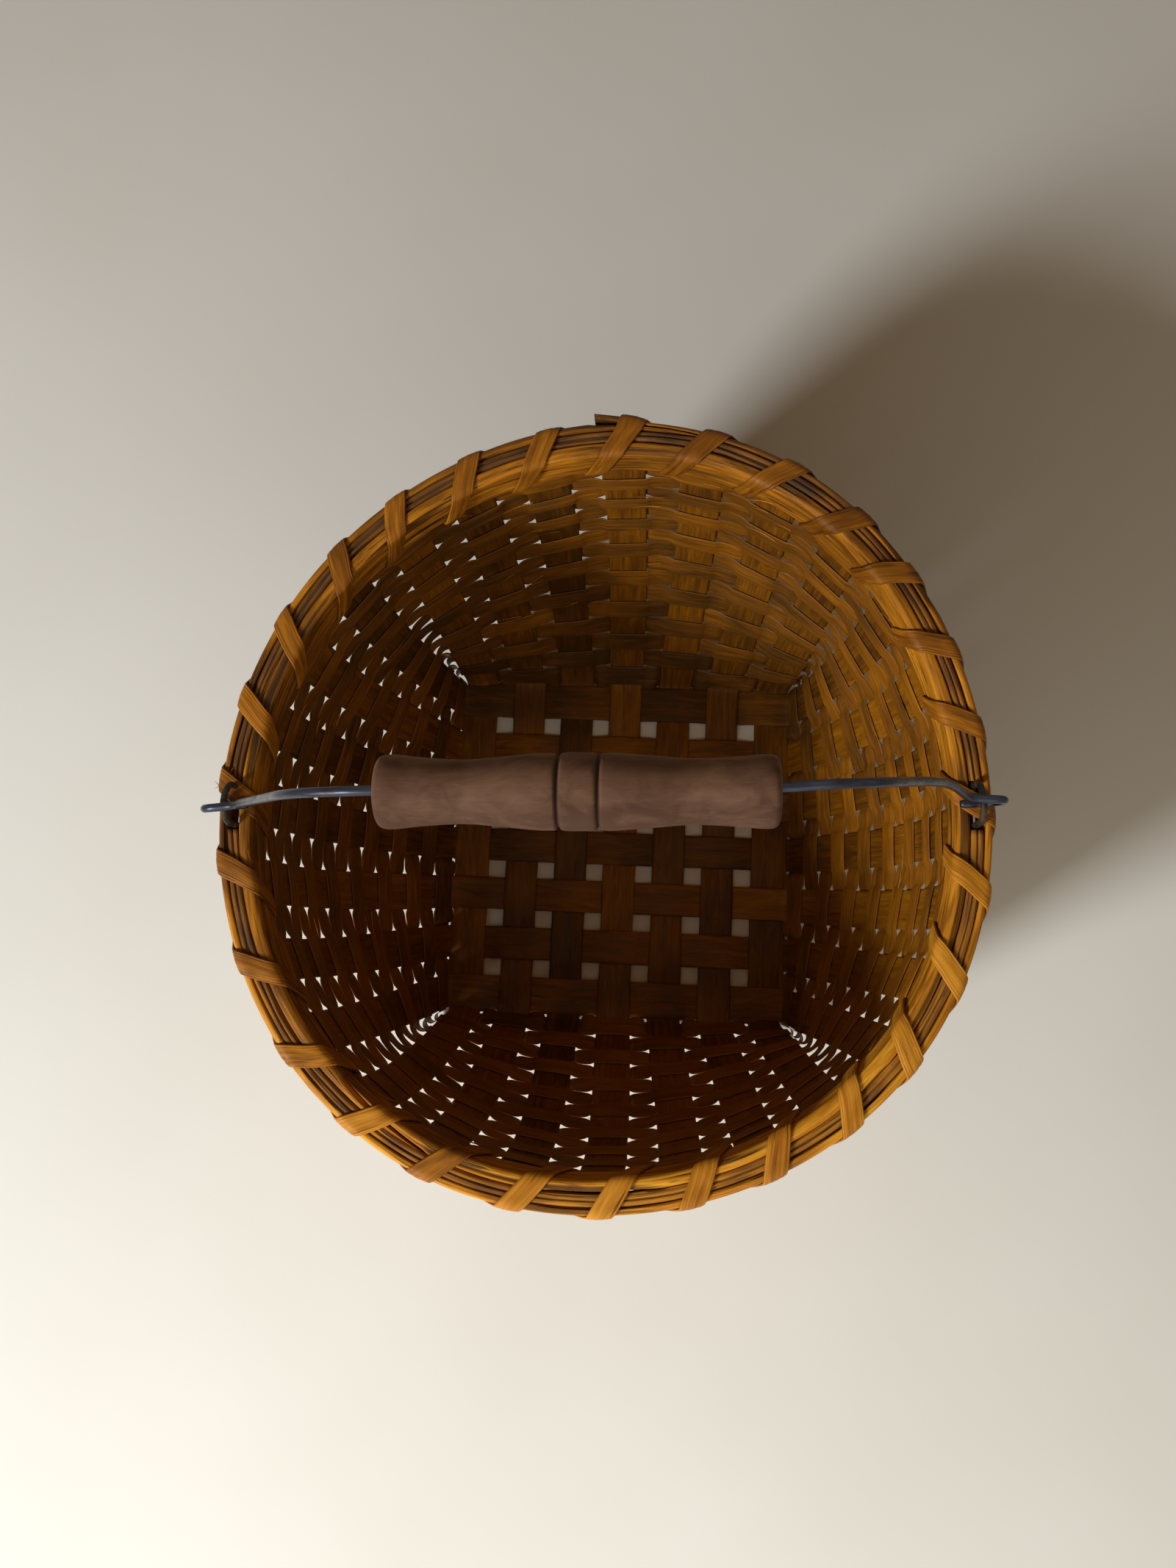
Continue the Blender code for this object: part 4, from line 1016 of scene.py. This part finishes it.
# The turned grip: share of its length, share of its greatest radius
GRIP_SHARES = (
    (0.0, 0.74), (0.003, 0.83), (0.009, 0.905), (0.020, 0.948), (0.045, 0.955), (0.12, 0.875),
    (0.22, 0.823), (0.31, 0.89), (0.39, 0.972), (0.438, 0.985), (0.449, 0.96), (0.455, 0.885),
    (0.461, 0.96), (0.472, 0.995),
    (0.505, 1.0), (0.538, 0.995), (0.549, 0.96), (0.555, 0.885), (0.561, 0.955), (0.572, 0.985),
    (0.61, 0.975), (0.70, 0.905), (0.79, 0.838), (0.89, 0.88), (0.955, 0.935), (0.980, 0.93),
    (0.991, 0.89), (0.997, 0.82), (1.0, 0.73),
)


def build_grip(finish):
    """A turned handle: the cubic through GRIP_SHARES spun round its wire, with a bore, eased ends and
    a whisker of unevenness from the hand that turned it. Painted light makes it paler as cos(turn)
    towards the back, and it is painted darker in its grooves (painted shade) and at its ends."""
    shares = through(GRIP_SHARES, 7)
    x = (shares[:, 0] - 0.5) * GRIP_LENGTH
    radius = shares[:, 1] * GRIP_DIAMETER / 2
    x = joined(x[:1] + 0.0005, x[:1], x, x[-1:], x[-1:] - 0.0005)
    bore = np.array((GRIP_BORE, GRIP_BORE + 0.0005))
    radius = joined(bore, radius, bore[::-1])
    turn = np.linspace(0.0, 2 * np.pi, 96, endpoint=False)[:, None]
    outer = radius > GRIP_BORE + 0.001
    swell = 1.0 + 0.004 * wander(turn, 51, 3) * outer
    ring = radius * swell
    spot = leaned(x + 0.0 * ring, ring * np.cos(turn), BAIL_HEIGHT + ring * np.sin(turn))
    place = np.clip(x / GRIP_LENGTH + 0.5, 0.0, 1.0)
    # Painted shade in the two turned grooves, and darker at both ends
    groove = np.exp(-(((place - 0.455) / 0.0065) ** 2)) + np.exp(-(((place - 0.555) / 0.0065) ** 2))
    ends = np.exp(-np.minimum(place, 1 - place) / 0.004) * 0.5
    v = joined(x, x[:1]) + 0.2
    u = np.linspace(0.0, 2 * np.pi, 97) * GRIP_DIAMETER / 2
    # The tint given here is painted light: paler as cos(turn) towards the back
    skin("handle", "grip", "grip", finish, spot, u, v, True, np.cos(turn),
         np.clip(groove + ends, 0, 1), crosswise=True)


# ---- floor, light and camera ----


def build_floor():
    """A wide pale floor, matte, with a faint unevenness of tone. For the camera alone it fades into the
    room's own colour from FADE_FROM to FADE_TO metres away, where the lamps don't reach."""
    mesh = bpy.data.meshes.new("floor")
    corners = np.array(((-1, -1, 0), (1, -1, 0), (1, 1, 0), (-1, 1, 0))) * FLOOR_HALF
    mesh.from_pydata((corners - (0, 0, FLOOR_DROP)).tolist(), [], [(0, 1, 2, 3)])
    floor = bpy.data.objects.new("floor", mesh)
    bpy.context.scene.collection.objects.link(floor)
    material, tree, shader = new_finish("floor_paper")
    place = add(tree, "TexCoord", {}).outputs["Object"]
    cloud = figure(tree, place, 0.16, 0.16, 3.0, 0.5)
    tree.links.new(graded(tree, cloud, ((0.3, (0.775, 0.765, 0.735)), (0.7, (0.815, 0.810, 0.790)))),
                   shader.inputs["Base Color"])
    shader.inputs["Roughness"].default_value = 0.85
    shader.inputs["Specular IOR Level"].default_value = 0.25
    away = add(tree, "VectorMath", {0: place}, operation="LENGTH").outputs["Value"]
    seen = add(tree, "LightPath", {}).outputs["Is Camera Ray"]
    faded = sums(tree, (levelled(tree, away, FADE_FROM, FADE_TO), seen))
    room = add(tree, "Emission", {"Color": PALE_ROOM, "Strength": 1.0}).outputs[0]
    both = add(tree, "MixShader", {0: faded, 1: shader.outputs[0], 2: room})
    tree.links.new(both.outputs[0], tree.nodes["Material Output"].inputs["Surface"])
    mesh.materials.append(material)


def hang_lamp(name, azimuth, rise, far, size, energy, colour):
    """A flat lamp that faces the middle of the base from a direction, unseen by the camera itself."""
    lamp = bpy.data.lights.new(name, "AREA")
    lamp.shape = "RECTANGLE"
    lamp.size, lamp.size_y = size
    lamp.energy = energy
    lamp.color = colour
    holder = bpy.data.objects.new(name, lamp)
    turn, lift = np.radians(azimuth), np.radians(rise)
    holder.location = far * np.array((np.cos(turn) * np.cos(lift), np.sin(turn) * np.cos(lift),
                                      np.sin(lift)))
    holder.rotation_euler = Euler((np.pi / 2 - lift, 0.0, turn + np.pi / 2))
    holder.visible_camera = False
    bpy.context.scene.collection.objects.link(holder)


def build_light():
    """A soft lamp at the front left that throws the shadow, a wide one at the front, and a weak warm fill.
    The camera and gloss see a pale room."""
    hang_lamp("window", 216.3, 37.7, 1.63, (0.24, 0.40), 21.2, (0.96, 0.975, 0.955))
    hang_lamp("front_lamp", 265.4, 36.9, 0.64, (1.0, 0.8), 2.24, (1.0, 0.985, 0.86))
    world = bpy.data.worlds.new("room")
    world.use_nodes = True
    tree = world.node_tree
    tree.nodes.clear()
    path = add(tree, "LightPath", {})
    seen = add(tree, "Math", {0: path.outputs["Is Camera Ray"], 1: path.outputs["Is Glossy Ray"]},
               operation="MAXIMUM")
    fill = add(tree, "Background", {"Color": (0.104, 0.060, 0.024, 1.0), "Strength": 1.0})
    pale = add(tree, "Background", {"Color": PALE_ROOM, "Strength": 1.0})
    both = add(tree, "MixShader", {0: seen.outputs[0], 1: fill.outputs[0], 2: pale.outputs[0]})
    add(tree, "OutputWorld", {"Surface": both.outputs[0]})
    bpy.context.scene.world = world
    bpy.context.scene.view_settings.view_transform = "Standard"


def build_camera():
    """The photograph's view, nearly straight down. The lens is given for the frame's long side."""
    lens = bpy.data.cameras.new("camera")
    lens.sensor_width = 36.0
    lens.lens = 36.0 * 1645.1 / 2134
    camera = bpy.data.objects.new("camera", lens)
    camera.location = (0.02129, -0.0480, 0.59043)
    camera.rotation_euler = np.radians((7.761, 3.538, 0.418))
    bpy.context.scene.collection.objects.link(camera)
    bpy.context.scene.camera = camera


def main():
    build_camera()
    build_light()
    build_floor()
    build_splints(split_wood("stained_splint"))
    build_rows(split_wood("stained_weaver"))
    build_hoops(split_wood("hoop_wood"))
    build_fillers(split_wood("filler_reed"))
    cane = split_wood("lashing_cane")
    lashing("back", 3, UPRIGHTS // 2, cane)
    lashing("front", 17, UPRIGHTS // 2, cane)
    loose_slivers(cane)
    build_ears(iron_finish())
    build_bail(steel_finish())
    build_grip(grip_finish())


main()
